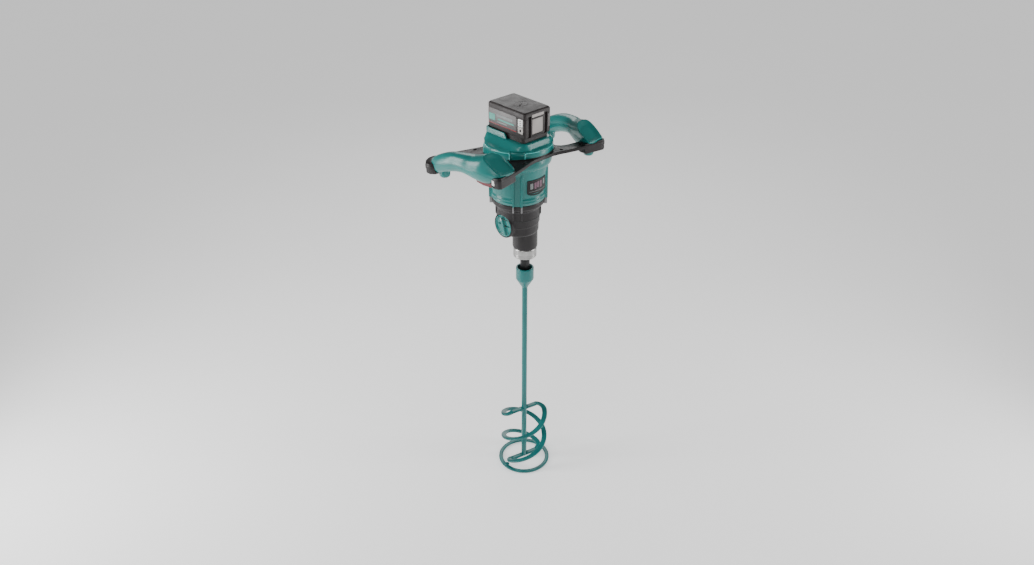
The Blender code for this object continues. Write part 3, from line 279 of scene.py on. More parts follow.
def dress(obj, material, body, nodes=(), sharp=40.0):
    """Gives a piece its material, smooth shading and body, and hides the CAD nodes it stands for."""
    obj.data.materials.clear()
    obj.data.materials.append(MATERIALS[material])
    obj.data.shade_smooth()
    obj.data.set_sharp_from_angle(angle=math.radians(sharp))
    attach(obj, body)
    if nodes:
        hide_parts(*nodes)
    return obj


def round_edges(obj, width, segments=2, angle=35.0):
    modifier = obj.modifiers.new("round_edges", "BEVEL")
    modifier.width = width * MM
    modifier.segments = segments
    modifier.limit_method = "ANGLE"
    modifier.angle_limit = math.radians(angle)
    modifier.harden_normals = False
    bake(obj)


def combine(obj, bm, name, operation):
    """Joins or cuts an object with a helper solid, which is then removed."""
    other = new_object(name, bm)
    modifier = obj.modifiers.new(name, "BOOLEAN")
    modifier.operation = operation
    modifier.solver = "EXACT"
    modifier.object = other
    bake(obj)
    bpy.data.objects.remove(other)


def add_piece(name, bm, material, body, nodes=(), rounding=0.0, sharp=40.0):
    obj = new_object(name, bm)
    if rounding:
        round_edges(obj, rounding)
    return dress(obj, material, body, nodes, sharp)


def softened(node, material, body, width, sharp=40.0):
    """A copy of a CAD node with flat faces merged and edges rounded, which stands for the node."""
    bm = bmesh.new()
    bm.from_mesh(frame["nodes"][node].data)
    bmesh.ops.remove_doubles(bm, verts=bm.verts, dist=1e-6)
    bmesh.ops.dissolve_limit(bm, angle_limit=math.radians(1.5), verts=bm.verts, edges=bm.edges)
    obj = new_object(f"{node}_finished", bm, 1.0)
    round_edges(obj, width)
    return dress(obj, material, body, (node,), sharp)


def fillet(points, radius, closed=False, steps=4):
    """The polyline with its corners rounded by short curves."""
    rounded = []
    count = len(points)
    for i, point in enumerate(points):
        if not closed and i in (0, count - 1):
            rounded.append(point)
            continue
        here = Vector(point)
        before, after = Vector(points[i - 1]), Vector(points[(i + 1) % count])
        back, on = before - here, after - here
        start = here + back.normalized() * min(radius, back.length * 0.45)
        end = here + on.normalized() * min(radius, on.length * 0.45)
        for step in range(steps + 1):
            t = step / steps
            rounded.append(tuple(start * (1 - t) ** 2 + here * 2 * t * (1 - t) + end * t**2))
    return rounded


def around(segments):
    """Evenly spaced angles, one turn."""
    return [2 * math.pi * i / segments for i in range(segments)]


def polar(radius, angle, z):
    return (radius * math.cos(angle), radius * math.sin(angle), z)


def lathe(profile, centre=(0.0, 0.0), segments=96):
    """A profile of (radius, height) turned about a vertical axis, from one point on the axis to another."""
    rows = []
    for radius, height in profile:
        row = []
        for i in range(segments):
            angle = 2 * math.pi * i / segments
            row.append(
                (centre[0] + radius * math.cos(angle), centre[1] + radius * math.sin(angle), height)
            )
        rows.append(row)
    return rows_mesh(rows, capped=False)


def turn_onto_x(bm, centre):
    """Turns a solid made about the vertical axis onto the X axis; its top then faces -X."""
    turn = Matrix.Translation(centre) @ Matrix.Rotation(math.radians(-90), 4, "Y")
    bmesh.ops.transform(bm, matrix=turn, verts=bm.verts)
    return bm


def slab(low, high):
    """A box between two corners."""
    (x0, y0, z0), (x1, y1, z1) = low, high
    outline = [(x0, y0), (x1, y0), (x1, y1), (x0, y1)]
    return rows_mesh([[(x, y, z0) for x, y in outline], [(x, y, z1) for x, y in outline]])


def tube(points, radius, sides=8):
    """A round wire through points."""
    rows = []
    for i, point in enumerate(points):
        before, after = Vector(points[max(i - 1, 0)]), Vector(points[min(i + 1, len(points) - 1)])
        along = (after - before).normalized()
        side = along.cross(Vector((0.31, 0.17, 0.93))).normalized()
        other = along.cross(side)
        row = []
        for step in range(sides):
            angle = 2 * math.pi * step / sides
            row.append(Vector(point) + (side * math.cos(angle) + other * math.sin(angle)) * radius)
        rows.append(row)
    return rows_mesh(rows)


def smooth_value(stations, where):
    """A Catmull-Rom curve through (place, value) stations in falling order of place."""
    where = min(stations[0][0], max(stations[-1][0], where))
    i = next(k for k in range(len(stations) - 1) if stations[k + 1][0] <= where)
    (p1, v1), (p2, v2) = stations[i], stations[i + 1]
    p0, v0 = stations[i - 1] if i else (2 * p1 - p2, 2 * v1 - v2)
    p3, v3 = stations[i + 2] if i + 2 < len(stations) else (2 * p2 - p1, 2 * v2 - v1)
    t = (where - p1) / (p2 - p1)
    slope1 = (v2 - v0) / (p2 - p0) * (p2 - p1)
    slope2 = (v3 - v1) / (p3 - p1) * (p2 - p1)
    start_share = 2 * t**3 - 3 * t**2 + 1
    start_slope = t**3 - 2 * t**2 + t
    end_slope = t**3 - t**2
    return start_share * v1 + start_slope * slope1 + (1 - start_share) * v2 + end_slope * slope2


def handle_plane(y, above=0.0):
    """The height of the tilted handle plate's top face at y, in millimetres."""
    return HANDLE_Z + y * math.tan(HANDLE_TILT) + above / math.cos(HANDLE_TILT)


def soft_step(value, low, high):
    share = min(1.0, max(0.0, (value - low) / (high - low)))
    return share * share * (3 - 2 * share)


# ---- paddle -------------------------------------------------------------------------------
BLADE_R, BLADE_WIDTH, BLADE_THICK, BLADE_BEND = 63.0, 14.0, 5.6, 15.0
BLADE_TOP, BLADE_BOTTOM = 174.0, 9.1
BLADE_ANGLE = math.radians(-13)


def blade_path(start, inner=5.0, bend_steps=14, turn_steps=110):
    """One blade's centre line: out from the rod, round a bend, nearly a turn down, a bend, and back."""
    radius = BLADE_R - BLADE_WIDTH / 2
    bend_centre = radius - BLADE_BEND
    swing = math.asin(BLADE_BEND / bend_centre)
    reach = math.sqrt(bend_centre**2 - BLADE_BEND**2)
    spoke = [(inner + (reach - inner) * i / 6, 0.0) for i in range(7)]
    bend = []
    for step in range(1, bend_steps):
        angle = (math.pi / 2 + swing) * step / bend_steps
        bend.append((reach + BLADE_BEND * math.sin(angle), -BLADE_BEND + BLADE_BEND * math.cos(angle)))
    plan = spoke + bend
    for step in range(turn_steps + 1):
        angle = -swing - (2 * math.pi - 2 * swing) * step / turn_steps
        plan.append((radius * math.cos(angle), radius * math.sin(angle)))
    plan += [(x, -y) for x, y in reversed(spoke + bend)]
    lengths = [0.0]
    for (x0, y0), (x1, y1) in zip(plan, plan[1:]):
        lengths.append(lengths[-1] + math.hypot(x1 - x0, y1 - y0))
    first, last = lengths[len(spoke) - 1], lengths[-len(spoke)]
    points = []
    for (x, y), length in zip(plan, lengths):
        share = min(1.0, max(0.0, (length - first) / (last - first)))
        c, s = math.cos(start), math.sin(start)
        height = BLADE_TOP + (BLADE_BOTTOM - BLADE_TOP) * share
        points.append((SPINDLE[0] + c * x - s * y, SPINDLE[1] + s * x + c * y, height))
    return points


def flat_bar(points, width, thick):
    """A flat bar with rounded edges along points, its width level."""
    half_w, half_t, edge = width / 2, thick / 2, thick * 0.42
    corners = [(half_w, -half_t), (half_w, half_t), (-half_w, half_t), (-half_w, -half_t)]
    outline = fillet(corners, edge, True, 3)
    rows = []
    for i, point in enumerate(points):
        before, after = Vector(points[max(i - 1, 0)]), Vector(points[min(i + 1, len(points) - 1)])
        along = Vector((after.x - before.x, after.y - before.y, 0)).normalized()
        side = Vector((-along.y, along.x, 0))
        rows.append([Vector(point) + side * across + Vector((0, 0, up)) for across, up in outline])
    return rows_mesh(rows)


def weld_bead(centre, size, seed):
    """A small uneven lump of weld."""
    bm = bmesh.new()
    bmesh.ops.create_icosphere(bm, subdivisions=4, radius=1.0)
    for vert in bm.verts:
        lump = 1 + 0.16 * noise.noise(vert.co * 2.6 + Vector((seed, 0, 0)))
        vert.co = Vector(
            (vert.co.x * size[0], vert.co.y * size[1], vert.co.z * size[2])
        ) * lump + Vector(centre)
    return bm


def build_paddle():
    ring_profile = fillet([(59, 0), (70, 0), (70, 6), (59, 6)], 2.2, True, 4)
    ring_profile.append(ring_profile[0])
    add_piece(
        "ring_smooth", lathe(ring_profile, SPINDLE, 160), "teal_paint", "paddle",
        ("mixing_ring",),
    )
    for index in (0, 1):
        path = blade_path(BLADE_ANGLE + math.pi * index)
        bar = flat_bar(path, BLADE_WIDTH, BLADE_THICK)
        node = f"helical_blade_{index + 1}"
        add_piece(f"{node}_smooth", bar, "teal_paint", "paddle", (node,))
        angle = BLADE_ANGLE + math.pi * index
        for level, height in enumerate((BLADE_TOP, BLADE_BOTTOM)):
            place = (SPINDLE[0] + 9.0 * math.cos(angle), 9.0 * math.sin(angle), height + 0.6)
            bead = weld_bead(place, (5.4, 5.4, 3.6), index * 7 + level * 3)
            add_piece(f"weld_rod_{index}_{level}", bead, "teal_paint", "paddle")
        foot = angle + math.radians(10)
        place = (SPINDLE[0] + 60.5 * math.cos(foot), 60.5 * math.sin(foot), 7.0)
        bead = weld_bead(place, (6.0, 6.0, 2.4), index + 20)
        add_piece(f"weld_ring_{index}", bead, "teal_paint", "paddle")
    rod = lathe(fillet([(0, 6.6), (7, 6.6), (7, 566), (0, 566)], 1.2, steps=3), SPINDLE, 48)
    add_piece("rod_smooth", rod, "teal_paint", "paddle", ("paddle_rod",))
    cup_profile = [
        (0, 564), (10, 564), (22.3, 585), (22.3, 617), (17.4, 617), (17, 607), (14.5, 605.2), (0, 605.2),
    ]
    cup = lathe(fillet(cup_profile, 1.8, steps=4), SPINDLE, 96)
    add_piece("cup_smooth", cup, "teal_paint", "paddle", ("paddle_cup",))
    fillet_profile = fillet([(6, 558), (7.6, 560), (10.4, 564.4), (6, 566)], 1.5, True, 4)
    fillet_bead = lathe(fillet_profile, SPINDLE, 64)
    add_piece("cup_weld", fillet_bead, "teal_paint", "paddle")
    softened("hex_adapter", "dark_steel", "paddle", 0.7)


# ---- coupling and gearbox -----------------------------------------------------------------
def build_collar():
    """The quick-release collar: a chamfered foot, a thin groove and a straight wall."""
    profile = [
        (17.4, 669.8), (23, 669.8), (23, 650.2), (26.4, 650), (28.5, 652.4), (28.5, 655.6), (28.0, 656.1)
    ]
    profile += [
        (28.5, 656.6), (28.5, 660.0), (28.0, 660.5), (28.5, 661.0), (28.5, 674.6), (26.6, 676.7),
        (17.4, 676.7),
    ]
    profile = fillet(profile, 0.7, steps=3)
    profile.append(profile[0])
    collar = lathe(profile, SPINDLE, 128)
    add_piece("collar_smooth", collar, "bright_steel", "collar", ("coupling_collar",))


KNOB_X, KNOB_Z, KNOB_R, KNOB_LEAN = -46.5, 756.0, 27.0, math.radians(18)
POCKET_DEPTH, MELT_SIZE = 3.4, 1.3
RIB_OUT, RIB_HALF = 9.8, 2.2  # a rib's place across its channel, and half its width


def build_gearbox():
    """The gearbox casting: barrel, neck and selector boss, melted together and then machined."""
    barrel = lathe([
        (0, 731), (43, 731), (46.5, 732), (48.5, 735), (48.5, 753), (49.2, 756), (50.5, 758), (51.2, 774),
        (52.2, 775.5), (52.3, 796), (53.5, 799), (61.4, 807), (62.3, 809), (62.3, 819.4), (61.7, 820),
        (0, 820),
    ], segments=128)
    neck = lathe([(0, 677), (28.3, 677), (30, 678), (30.5, 680), (30.5, 742), (0, 742)], SPINDLE, 96)
    boss = turn_onto_x(
        lathe([(0, -10), (30.5, -10), (30.5, 48.3), (29.6, 49.5), (0, 49.5)], segments=96), (0, 0, KNOB_Z)
    )
    obj = new_object("gearbox_smooth", barrel)
    combine(obj, neck, "neck", "UNION")
    combine(obj, boss, "boss", "UNION")
    melt = obj.modifiers.new("melt", "REMESH")
    melt.mode = "VOXEL"
    melt.voxel_size = MELT_SIZE * MM
    soften = obj.modifiers.new("soften", "SMOOTH")
    soften.iterations = 5
    bake(obj)
    recess = turn_onto_x(
        lathe([(0, 44.6), (28.2, 44.6), (28.2, 60), (0, 60)], segments=96), (0, 0, KNOB_Z)
    )
    bore = lathe([(0, 670), (18.5, 670), (18.5, 690), (0, 690)], SPINDLE, 64)
    combine(obj, recess, "recess", "DIFFERENCE")
    combine(obj, bore, "bore", "DIFFERENCE")
    dress(obj, "cast_dark", "machine", ("gearbox_housing",), 50)
    build_flange_ribs()
    seam = lathe(
        [(51.4, 774.2), (52.5, 774.2), (52.5, 775.2), (51.4, 775.2), (51.4, 774.2)], segments=128
    )
    add_piece("gearbox_seam", seam, "seam_black", "machine")
    rim = lathe([(48.0, 756.6), (50.3, 756.9), (50.6, 757.6), (48.0, 757.8), (48.0, 756.6)], segments=128)
    add_piece("barrel_step", rim, "dark_plastic", "machine")


def build_flange_ribs():
    """Pairs of ribs that carry the motor housing's corner channels down over the gearbox."""
    for index in range(4):
        turn = Matrix.Rotation(math.radians(45 + 90 * index), 3, "Z")
        for side in (-1, 1):
            near, far = side * RIB_OUT - RIB_HALF, side * RIB_OUT + RIB_HALF
            outline = fillet([(46, near), (53.9, near), (53.9, far), (46, far)], 1.4, True, 3)
            low = [(x - 1.4, y, 777.5) for x, y in outline]
            shoulder = [(x, y, 779.5) for x, y in outline]
            top = [(x, y, 801.0) for x, y in outline]
            rib = rows_mesh([low, shoulder, top])
            bmesh.ops.rotate(rib, cent=(0, 0, 0), matrix=turn, verts=rib.verts)
            add_piece(f"flange_rib_{index}_{side + 1}", rib, "cast_dark", "machine")
            # The tails are light grey, a painted highlight on the dark ribs.
            tail = slab((59.5, near + 0.3, 804.5), (67.6, far - 0.3, 820.6))
            bmesh.ops.rotate(tail, cent=(0, 0, 0), matrix=turn, verts=tail.verts)
            name = f"rib_tail_{index}_{side + 1}"
            add_piece(name, tail, "rib_painted_highlight_grey", "machine", rounding=1.2)


def build_knob():
    """The selector: a round knob with a finger bar between two dished pockets."""
    disc_rows = []
    rings = 26
    segments = 120
    face, rim_z = 3.0, 5.5
    face_r = KNOB_R - 0.7
    outer = [(KNOB_R - 1, -1.4), (KNOB_R, -0.6), (KNOB_R, face - 0.8), (face_r, face)]
    for radius, height in outer:
        disc_rows.append([(radius * math.cos(a), radius * math.sin(a), height) for a in around(segments)])
    for ring in range(1, rings + 1):
        radius = face_r * (1 - ring / rings) + 0.02
        row = []
        for angle in around(segments):
            x, y = radius * math.cos(angle), radius * math.sin(angle)
            away = abs(y * math.cos(KNOB_LEAN) - x * math.sin(KNOB_LEAN))
            bar = 1 - soft_step(away, 3.2, 7.0)
            inside = soft_step(25.6 - radius, 0.0, 3.4)
            height = face + inside * (bar * (rim_z - face) - (1 - bar) * POCKET_DEPTH)
            row.append((x, y, height))
        disc_rows.append(row)
    seat = (KNOB_X, 0, KNOB_Z)
    knob = turn_onto_x(rows_mesh(disc_rows), seat)
    add_piece("knob_smooth", knob, "teal_plastic", "selector", ("selector_knob",), sharp=60)
    pointer = slab((-1.0, -1.0, 0), (6.0, 1.0, 0.5))
    place = Matrix.Rotation(KNOB_LEAN, 4, "Z") @ Matrix.Translation((14, 0, rim_z - 0.2))
    bmesh.ops.transform(pointer, matrix=place, verts=pointer.verts)
    turn_onto_x(pointer, seat)
    add_piece("knob_pointer", pointer, "white_plastic", "selector")


# ---- motor housing ------------------------------------------------------------------------
HOUSING_LOW, HOUSING_HIGH, HOUSING_BORE_R = 820.3, 906.0, 57.5
HOUSING_PROFILE = (
    (905.9, 68.0), (900, 67.4), (892, 66.4), (880, 65.0), (860, 64.3), (845, 63.6), (838.2, 63.0),
    (835, 64.0), (824, 64.0), (820.3, 62.2),
)


def housing_radius(z, angle):
    """The housing's outer radius, with two beads near its foot and a ribbed channel at each corner."""
    radius = smooth_value(HOUSING_PROFILE, z)
    for bead in (827.0, 834.0):
        radius += 0.9 * math.exp(-(((z - bead) / 1.3) ** 2))
    corner = math.radians(45) + math.radians(90) * round((angle - math.radians(45)) / math.radians(90))
    off = angle - corner
    across = abs(68.0 * math.sin(off))
    ribbed = soft_step(across, 6.9, 8.1)
    inside = (1 - soft_step(across, 11.4, 12.9)) * (1 - soft_step(z, 893.0, 905.0))
    shaped = (64.6 + 4.0 * ribbed) / math.cos(off)
    return radius * (1 - inside) + shaped * inside


def build_motor_housing():
    """The housing's wall and shoulder, up to the tilted underside of the handle frame."""
    segments = 480
    rows = []
    levels = [HOUSING_LOW + (HOUSING_HIGH - HOUSING_LOW) * i / 70 for i in range(71)]
    rows.append([polar(HOUSING_BORE_R, a, HOUSING_LOW) for a in around(segments)])
    for z in levels:
        rows.append([polar(housing_radius(z, a), a, z) for a in around(segments)])
    for radius, z in ((70.5, 908.0), (74.0, 910.2), (76.0, 913.0), (76.9, 917.0)):
        rows.append([polar(radius, a, z) for a in around(segments)])
    for drop, radius in ((1.6, 77.0), (0.6, 76.6), (0.0, 75.8), (0.0, 58.0)):
        row = []
        for a in around(segments):
            z = handle_plane(radius * math.sin(a), -PLATE_THICK - 0.3) - drop
            row.append(polar(radius, a, z))
        rows.append(row)
    wall = rows_mesh(rows, capped=False)
    add_piece("housing_smooth", wall, "teal_plastic", "machine", ("motor_housing",), sharp=50)
    build_housing_trim()


def curved_plate(radius, thick, middle, half_angle, low, high, corner=2.5, steps=28):
    """A plate with round corners, bent round the motor's axis. middle and half_angle are in degrees."""
    half_width = math.radians(half_angle) * radius
    corners = [(-half_width, low), (half_width, low), (half_width, high), (-half_width, high)]
    flat = fillet(corners, corner, True, 5)
    dense = []
    for i, (u, z) in enumerate(flat):
        nu, nz = flat[(i + 1) % len(flat)]
        pieces = max(1, int(math.hypot(nu - u, nz - z) / (2 * half_width / steps)))
        for step in range(pieces):
            dense.append((u + (nu - u) * step / pieces, z + (nz - z) * step / pieces))
    rows = []
    centre_z = (low + high) / 2
    rings = ((1.0, 0.0), (1.0, thick * 0.7), (0.985, thick), (0.66, thick), (0.33, thick), (0.02, thick))
    for share, lift in rings:
        row = []
        for u, z in dense:
            a = math.radians(middle) + u * share / radius
            row.append(polar(radius + lift, a, centre_z + (z - centre_z) * share))
        rows.append(row)
    return rows_mesh(rows, capped=False)


def build_housing_trim():
    """The label, its generic marks, the crescent vent under it and the vents at the back and sides; the
    vents are thin black plates, painted shade where the openings are.
    """
    label = curved_plate(65.2, 1.2, -90, 25.5, 850.5, 883.5)
    add_piece("label_plate", label, "dark_plastic", "machine", ("nameplate",))
    marks = (
        (-106, 3.2, 862, 876, "label_light"), (-97.5, 2.6, 861, 877, "label_pink"),
        (-91, 2.6, 863, 878, "label_pink"), (-83, 3.0, 862, 878, "label_pink"),
        (-74, 2.6, 866, 879, "label_light"),
    )
    for index, (middle, half, low, high, finish) in enumerate(marks):
        mark = curved_plate(66.3, 0.35, middle, half, low, high, 1.5, 8)
        add_piece(f"label_mark_{index}", mark, finish, "machine")
    line = curved_plate(66.3, 0.3, -90, 21, 855.5, 856.6, 0.3, 30)
    add_piece("label_line", line, "label_light", "machine")
    # The crescent vent is a thin black plate, painted shade for its opening.
    crescent = []
    for share, lift in ((1.0, 0.0), (1.0, 0.6), (0.05, 0.6)):
        row = []
        for step in range(64):
            t = 2 * math.pi * step / 64
            a = math.radians(-90 + 23 * math.cos(t))
            z = 845.6 + 1.9 * math.sin(t) * share + 3.0 * math.cos(t) ** 2
            row.append(polar(63.9 + lift, a, z))
        crescent.append(row)
    add_piece("label_vent", rows_mesh(crescent, capped=False), "recess_painted_shade", "machine")
    # Each vent slot is a thin black plate, painted shade where an opening would be.
    for middle, count in ((90, 5), (180, 4), (0, 4)):
        for index in range(count):
            at = middle + (index - (count - 1) / 2) * 7.2
            slot = curved_plate(64.9, 0.5, at, 1.9, 862, 890, 1.6, 8)
            add_piece(f"vent_{middle}_{index}", slot, "recess_painted_shade", "machine")


# ---- top cover ----------------------------------------------------------------------------
def rectangle_reach(angle, half_x, half_y, radius):
    """The distance from the middle of a round-cornered rectangle to its edge, towards angle."""
    c, s = abs(math.cos(angle)), abs(math.sin(angle))
    low, high = 0.0, 2 * (half_x + half_y)
    for _ in range(40):
        middle = (low + high) / 2
        dx, dy = max(0.0, middle * c - half_x + radius), max(0.0, middle * s - half_y + radius)
        inside = middle * c <= half_x and middle * s <= half_y and math.hypot(dx, dy) <= radius
        low, high = (middle, high) if inside else (low, middle)
    return low


# Radius, level, and from the deck's shoulder up a round-cornered rectangle: half sizes and corner.
COVER_ROWS = (
    (80.0, 950.0, None), (79.7, 953.5, None), (78.8, 956.4, None), (77.4, 958.6, None), (75.0, 960.0, None),
    (None, 960.6, (66.5, 70.0, 44.0)), (None, 962.0, (62.5, 68.0, 38.0)), (None, 966.0, (57.0, 66.5, 28.0)),
    (None, 970.5, (51.0, 64.8, 20.0)), (None, 972.8, (48.0, 63.6, 17.0)), (None, 973.5, (45.5, 62.4, 15.0)),
    (None, 973.6, (42.0, 59.0, 12.0)),
)


BAND_HALF, BAND_DEPTH = 12.4, 1.5


def band_dip(angle):
    """How far the cover's wall is set back within its four diagonal bands."""
    off = abs(math.degrees(angle) % 90 - 45)
    return BAND_DEPTH * (1 - soft_step(off, BAND_HALF - 1.6, BAND_HALF))


def cover_point(angle, radius, z, rectangle):
    reach = rectangle_reach(angle, *rectangle) if rectangle else radius - band_dip(angle)
    return polar(reach, angle, z)


def build_top_cover():
    segments = 360
    rows = []
    for radius, lift in ((70.0, 0.35), (79.2, 0.35), (79.8, 1.0)):
        rows.append(
            [polar(radius, a, handle_plane(radius * math.sin(a), lift)) for a in around(segments)]
        )
    for share in (0.25, 0.5, 0.75):
        row = []
        for a in around(segments):
            foot = handle_plane(79.8 * math.sin(a), 1.0)
            row.append(polar(80.0 - band_dip(a), a, foot + (950.0 - foot) * share))
        rows.append(row)
    for radius, z, rectangle in COVER_ROWS:
        rows.append([cover_point(a, radius, z, rectangle) for a in around(segments)])
    rows.append([(0.02 * math.cos(a), 0.02 * math.sin(a), 973.6) for a in around(segments)])
    cover = rows_mesh(rows, capped=False)
    add_piece("cover_smooth", cover, "teal_plastic", "machine", ("top_cover",), sharp=50)
    build_pedestal()
    build_cover_beads()
    seam_rows = []
    for radius, lift in ((79.0, 0.2), (80.2, 0.2), (80.2, 3.2), (79.0, 3.2), (79.0, 0.2)):
        seam_rows.append([polar(radius, a, handle_plane(radius * math.sin(a), lift)) for a in around(200)])
    add_piece("cover_seam", rows_mesh(seam_rows, capped=False), "seam_black", "machine")


PEDESTAL_OUT, PEDESTAL_REAR, PEDESTAL_WALL = 45.2, 63.0, 3.9
PEDESTAL_FRONT, PEDESTAL_CORNER, PEDESTAL_FOOT, PEDESTAL_TOP = -20.0, 8.0, 958.0, 986.0


def build_pedestal():
    """The wall round the battery's rear half, its front edges sloping down to the deck."""
    corner_x, corner_y = PEDESTAL_CORNER - PEDESTAL_OUT, PEDESTAL_REAR - PEDESTAL_CORNER
    path = []  # places along the wall's outer face, each with the way that the face looks
    for step in range(25):
        path.append((-PEDESTAL_OUT, PEDESTAL_FRONT + (corner_y - PEDESTAL_FRONT) * step / 24, -1.0, 0.0))
    for step in range(1, 9):
        angle = math.radians(180 - 90 * step / 8)
        cx, cy = math.cos(angle), math.sin(angle)
        path.append((corner_x + PEDESTAL_CORNER * cx, corner_y + PEDESTAL_CORNER * cy, cx, cy))
    for step in range(1, 13):
        path.append((corner_x * (1 - step / 6), PEDESTAL_REAR, 0.0, 1.0))
    path += [(-x, y, -nx, ny) for x, y, nx, ny in reversed(path[:-12])]
    rows = []
    for x, y, nx, ny in path:
        top = PEDESTAL_FOOT + (PEDESTAL_TOP - PEDESTAL_FOOT) * soft_step(y, PEDESTAL_FRONT, 0.0)
        row = []
        for out, z in ((3.6, 959.0), (1.6, 963.5), (0.5, 968.0), (0.0, 974.0)):
            row.append((x + nx * out, y + ny * out, min(z, top - 2.0)))
        row.append((x, y, top - 1.2))
        row.append((x - nx * 0.5, y - ny * 0.5, top - 0.3))
        row.append((x - nx * 1.3, y - ny * 1.3, top))
        row.append((x - nx * 3.0, y - ny * 3.0, top))
        row.append((x - nx * PEDESTAL_WALL, y - ny * PEDESTAL_WALL, top - 0.8))
        row.append((x - nx * PEDESTAL_WALL, y - ny * PEDESTAL_WALL, PEDESTAL_FOOT))
        rows.append(row)
    add_piece("pedestal_wall", rows_mesh(rows), "teal_plastic", "machine", sharp=50)


BEAD_TOP, BEAD_R = 956.2, 0.95


def build_cover_beads():
    """Thin raised lines that frame the cover's four corner bands, coloured a light teal as a painted
    highlight.
    """
    for index in range(4):
        middle = 45 + 90 * index
        for side in (-1, 1):
            points = []
            for step in range(16):
                angle = math.radians(middle + side * (38 - 24.0 * step / 15))
                points.append(polar(79.2, angle, BEAD_TOP))
            for step in range(1, 7):
                share = step / 6
                bend = share * math.pi / 2
                angle = math.radians(middle + side * (14 - 1.6 * math.sin(bend)))
                points.append(polar(79.4 + 0.8 * share, angle, BEAD_TOP - 4.5 * (1 - math.cos(bend))))
            foot_angle = math.radians(middle + side * 12.4)
            foot = handle_plane(80 * math.sin(foot_angle), 3.4)
            for step in range(1, 7):
                points.append(polar(80.2, foot_angle, 951.7 + (foot - 951.7) * step / 6))
            name = f"cover_bead_{index}_{side + 1}"
            # The light teal along each bead is a painted highlight.
            add_piece(name, tube(points, BEAD_R), "teal_painted_highlight", "machine")


# ---- handle frame and grips ---------------------------------------------------------------
# Stations along the +X grip: y, inner x, outer x, top z, bottom z, inward lean of the top.
GRIP_STATIONS = (
    (90.0, 163.0, 179.0, 935.0, 914.0, 0.0),
    (86.0, 158.0, 185.0, 941.0, 909.5, 0.0),
    (76.0, 155.0, 189.0, 948.0, 906.5, 0.0),
    (60.0, 153.0, 191.5, 956.5, 911.0, 0.0),
    (40.0, 151.5, 191.0, 965.0, 919.5, 0.0),
    (20.0, 150.0, 189.5, 970.5, 926.5, 0.0),
    (2.0, 147.5, 187.0, 973.0, 930.5, 1.0),
    (-16.0, 142.5, 185.0, 974.5, 931.5, 2.0),
    (-32.0, 135.0, 183.0, 975.5, 928.5, 4.0),
    (-48.0, 127.5, 181.0, 980.0, 924.5, 6.0),
    (-64.0, 122.0, 178.5, 984.5, 922.5, 9.0),
    (-80.0, 118.0, 174.0, 983.0, 924.0, 12.0),
    (-94.0, 116.5, 169.0, 975.0, 932.0, 12.0),
    (-105.0, 116.0, 164.5, 964.0, 941.0, 11.0),
    (-112.0, 118.0, 159.0, 956.5, 947.0, 9.0),
)
GRIP_SPLIT = ((140, 924), (96, 924), (60, 935), (20, 949), (-20, 953), (-60, 952), (-90, 946), (-140, 944))
GRIP_REAR, GRIP_FRONT, GRIP_POWER = 90.0, -112.0, 0.85
FACE_Y, FACE_Z, FACE_SLOPE, FACE_REAR = -112.0, 953.0, math.radians(28.7), -58.0
DISH_DEPTH, LIP_HEIGHT = 4.4, 0.9
FEET = (("rear", 165.0, 64.0, 896.5), ("front", 145.0, -83.0, 905.0))


def grip_section(y):
    """The grip's inner x, outer x, top, bottom and lean at y."""
    columns = [[(station[0], station[column]) for station in GRIP_STATIONS] for column in range(1, 6)]
    return [smooth_value(column, y) for column in columns]


def grip_point(side, y, angle):
    """A point on the grip's surface, with the dished face carved into its front end."""
    inner, outer, top, bottom, lean = grip_section(y)
    c, s = math.cos(angle), math.sin(angle)
    across, up = math.copysign(abs(c) ** GRIP_POWER, c), math.copysign(abs(s) ** GRIP_POWER, s)
    x = (inner + outer) / 2 + (outer - inner) / 2 * across - lean * max(0.0, up)
    z = (top + bottom) / 2 + (top - bottom) / 2 * up
    face = FACE_Z + (y - FACE_Y) * math.tan(FACE_SLOPE)
    above = z - face
    if y < FACE_REAR and above > -2.0:
        dish = DISH_DEPTH * soft_step(above, 0.8, 9.0)
        lip = LIP_HEIGHT * math.exp(-((above / 1.4) ** 2))
        z = min(z, face) - dish + lip
    return (side * x, y, z)


def build_grip(kind, side):
    """One grip's skin, and the seams between its two shells."""
    rows = []
    for step in range(150):
        y = GRIP_REAR + (GRIP_FRONT - GRIP_REAR) * step / 149
        rows.append([grip_point(side, y, a) for a in around(112)])
    nodes = (f"{kind}_grip_upper_shell", f"{kind}_grip_lower_shell")
    skin = rows_mesh(rows)
    add_piece(f"{kind}_grip_smooth", skin, "teal_plastic", "machine", nodes, sharp=70)
    for name, sign in (("outer", 1), ("inner", -1)):
        points = []
        for step in range(90):
            y = 84.0 - 186.0 * step / 89
            _, _, top, bottom, _ = grip_section(y)
            share = (smooth_value(GRIP_SPLIT, y) - (top + bottom) / 2) / ((top - bottom) / 2)
            share = max(-0.95, min(0.95, share))
            s = math.copysign(abs(share) ** (1 / GRIP_POWER), share)
            angle = math.asin(s) if sign > 0 else math.pi - math.asin(s)
            points.append(grip_point(side, y, angle))
        seam = tube(points, 0.32, 6)
        add_piece(f"{kind}_grip_seam_{name}", seam, "teal_deep", "machine")


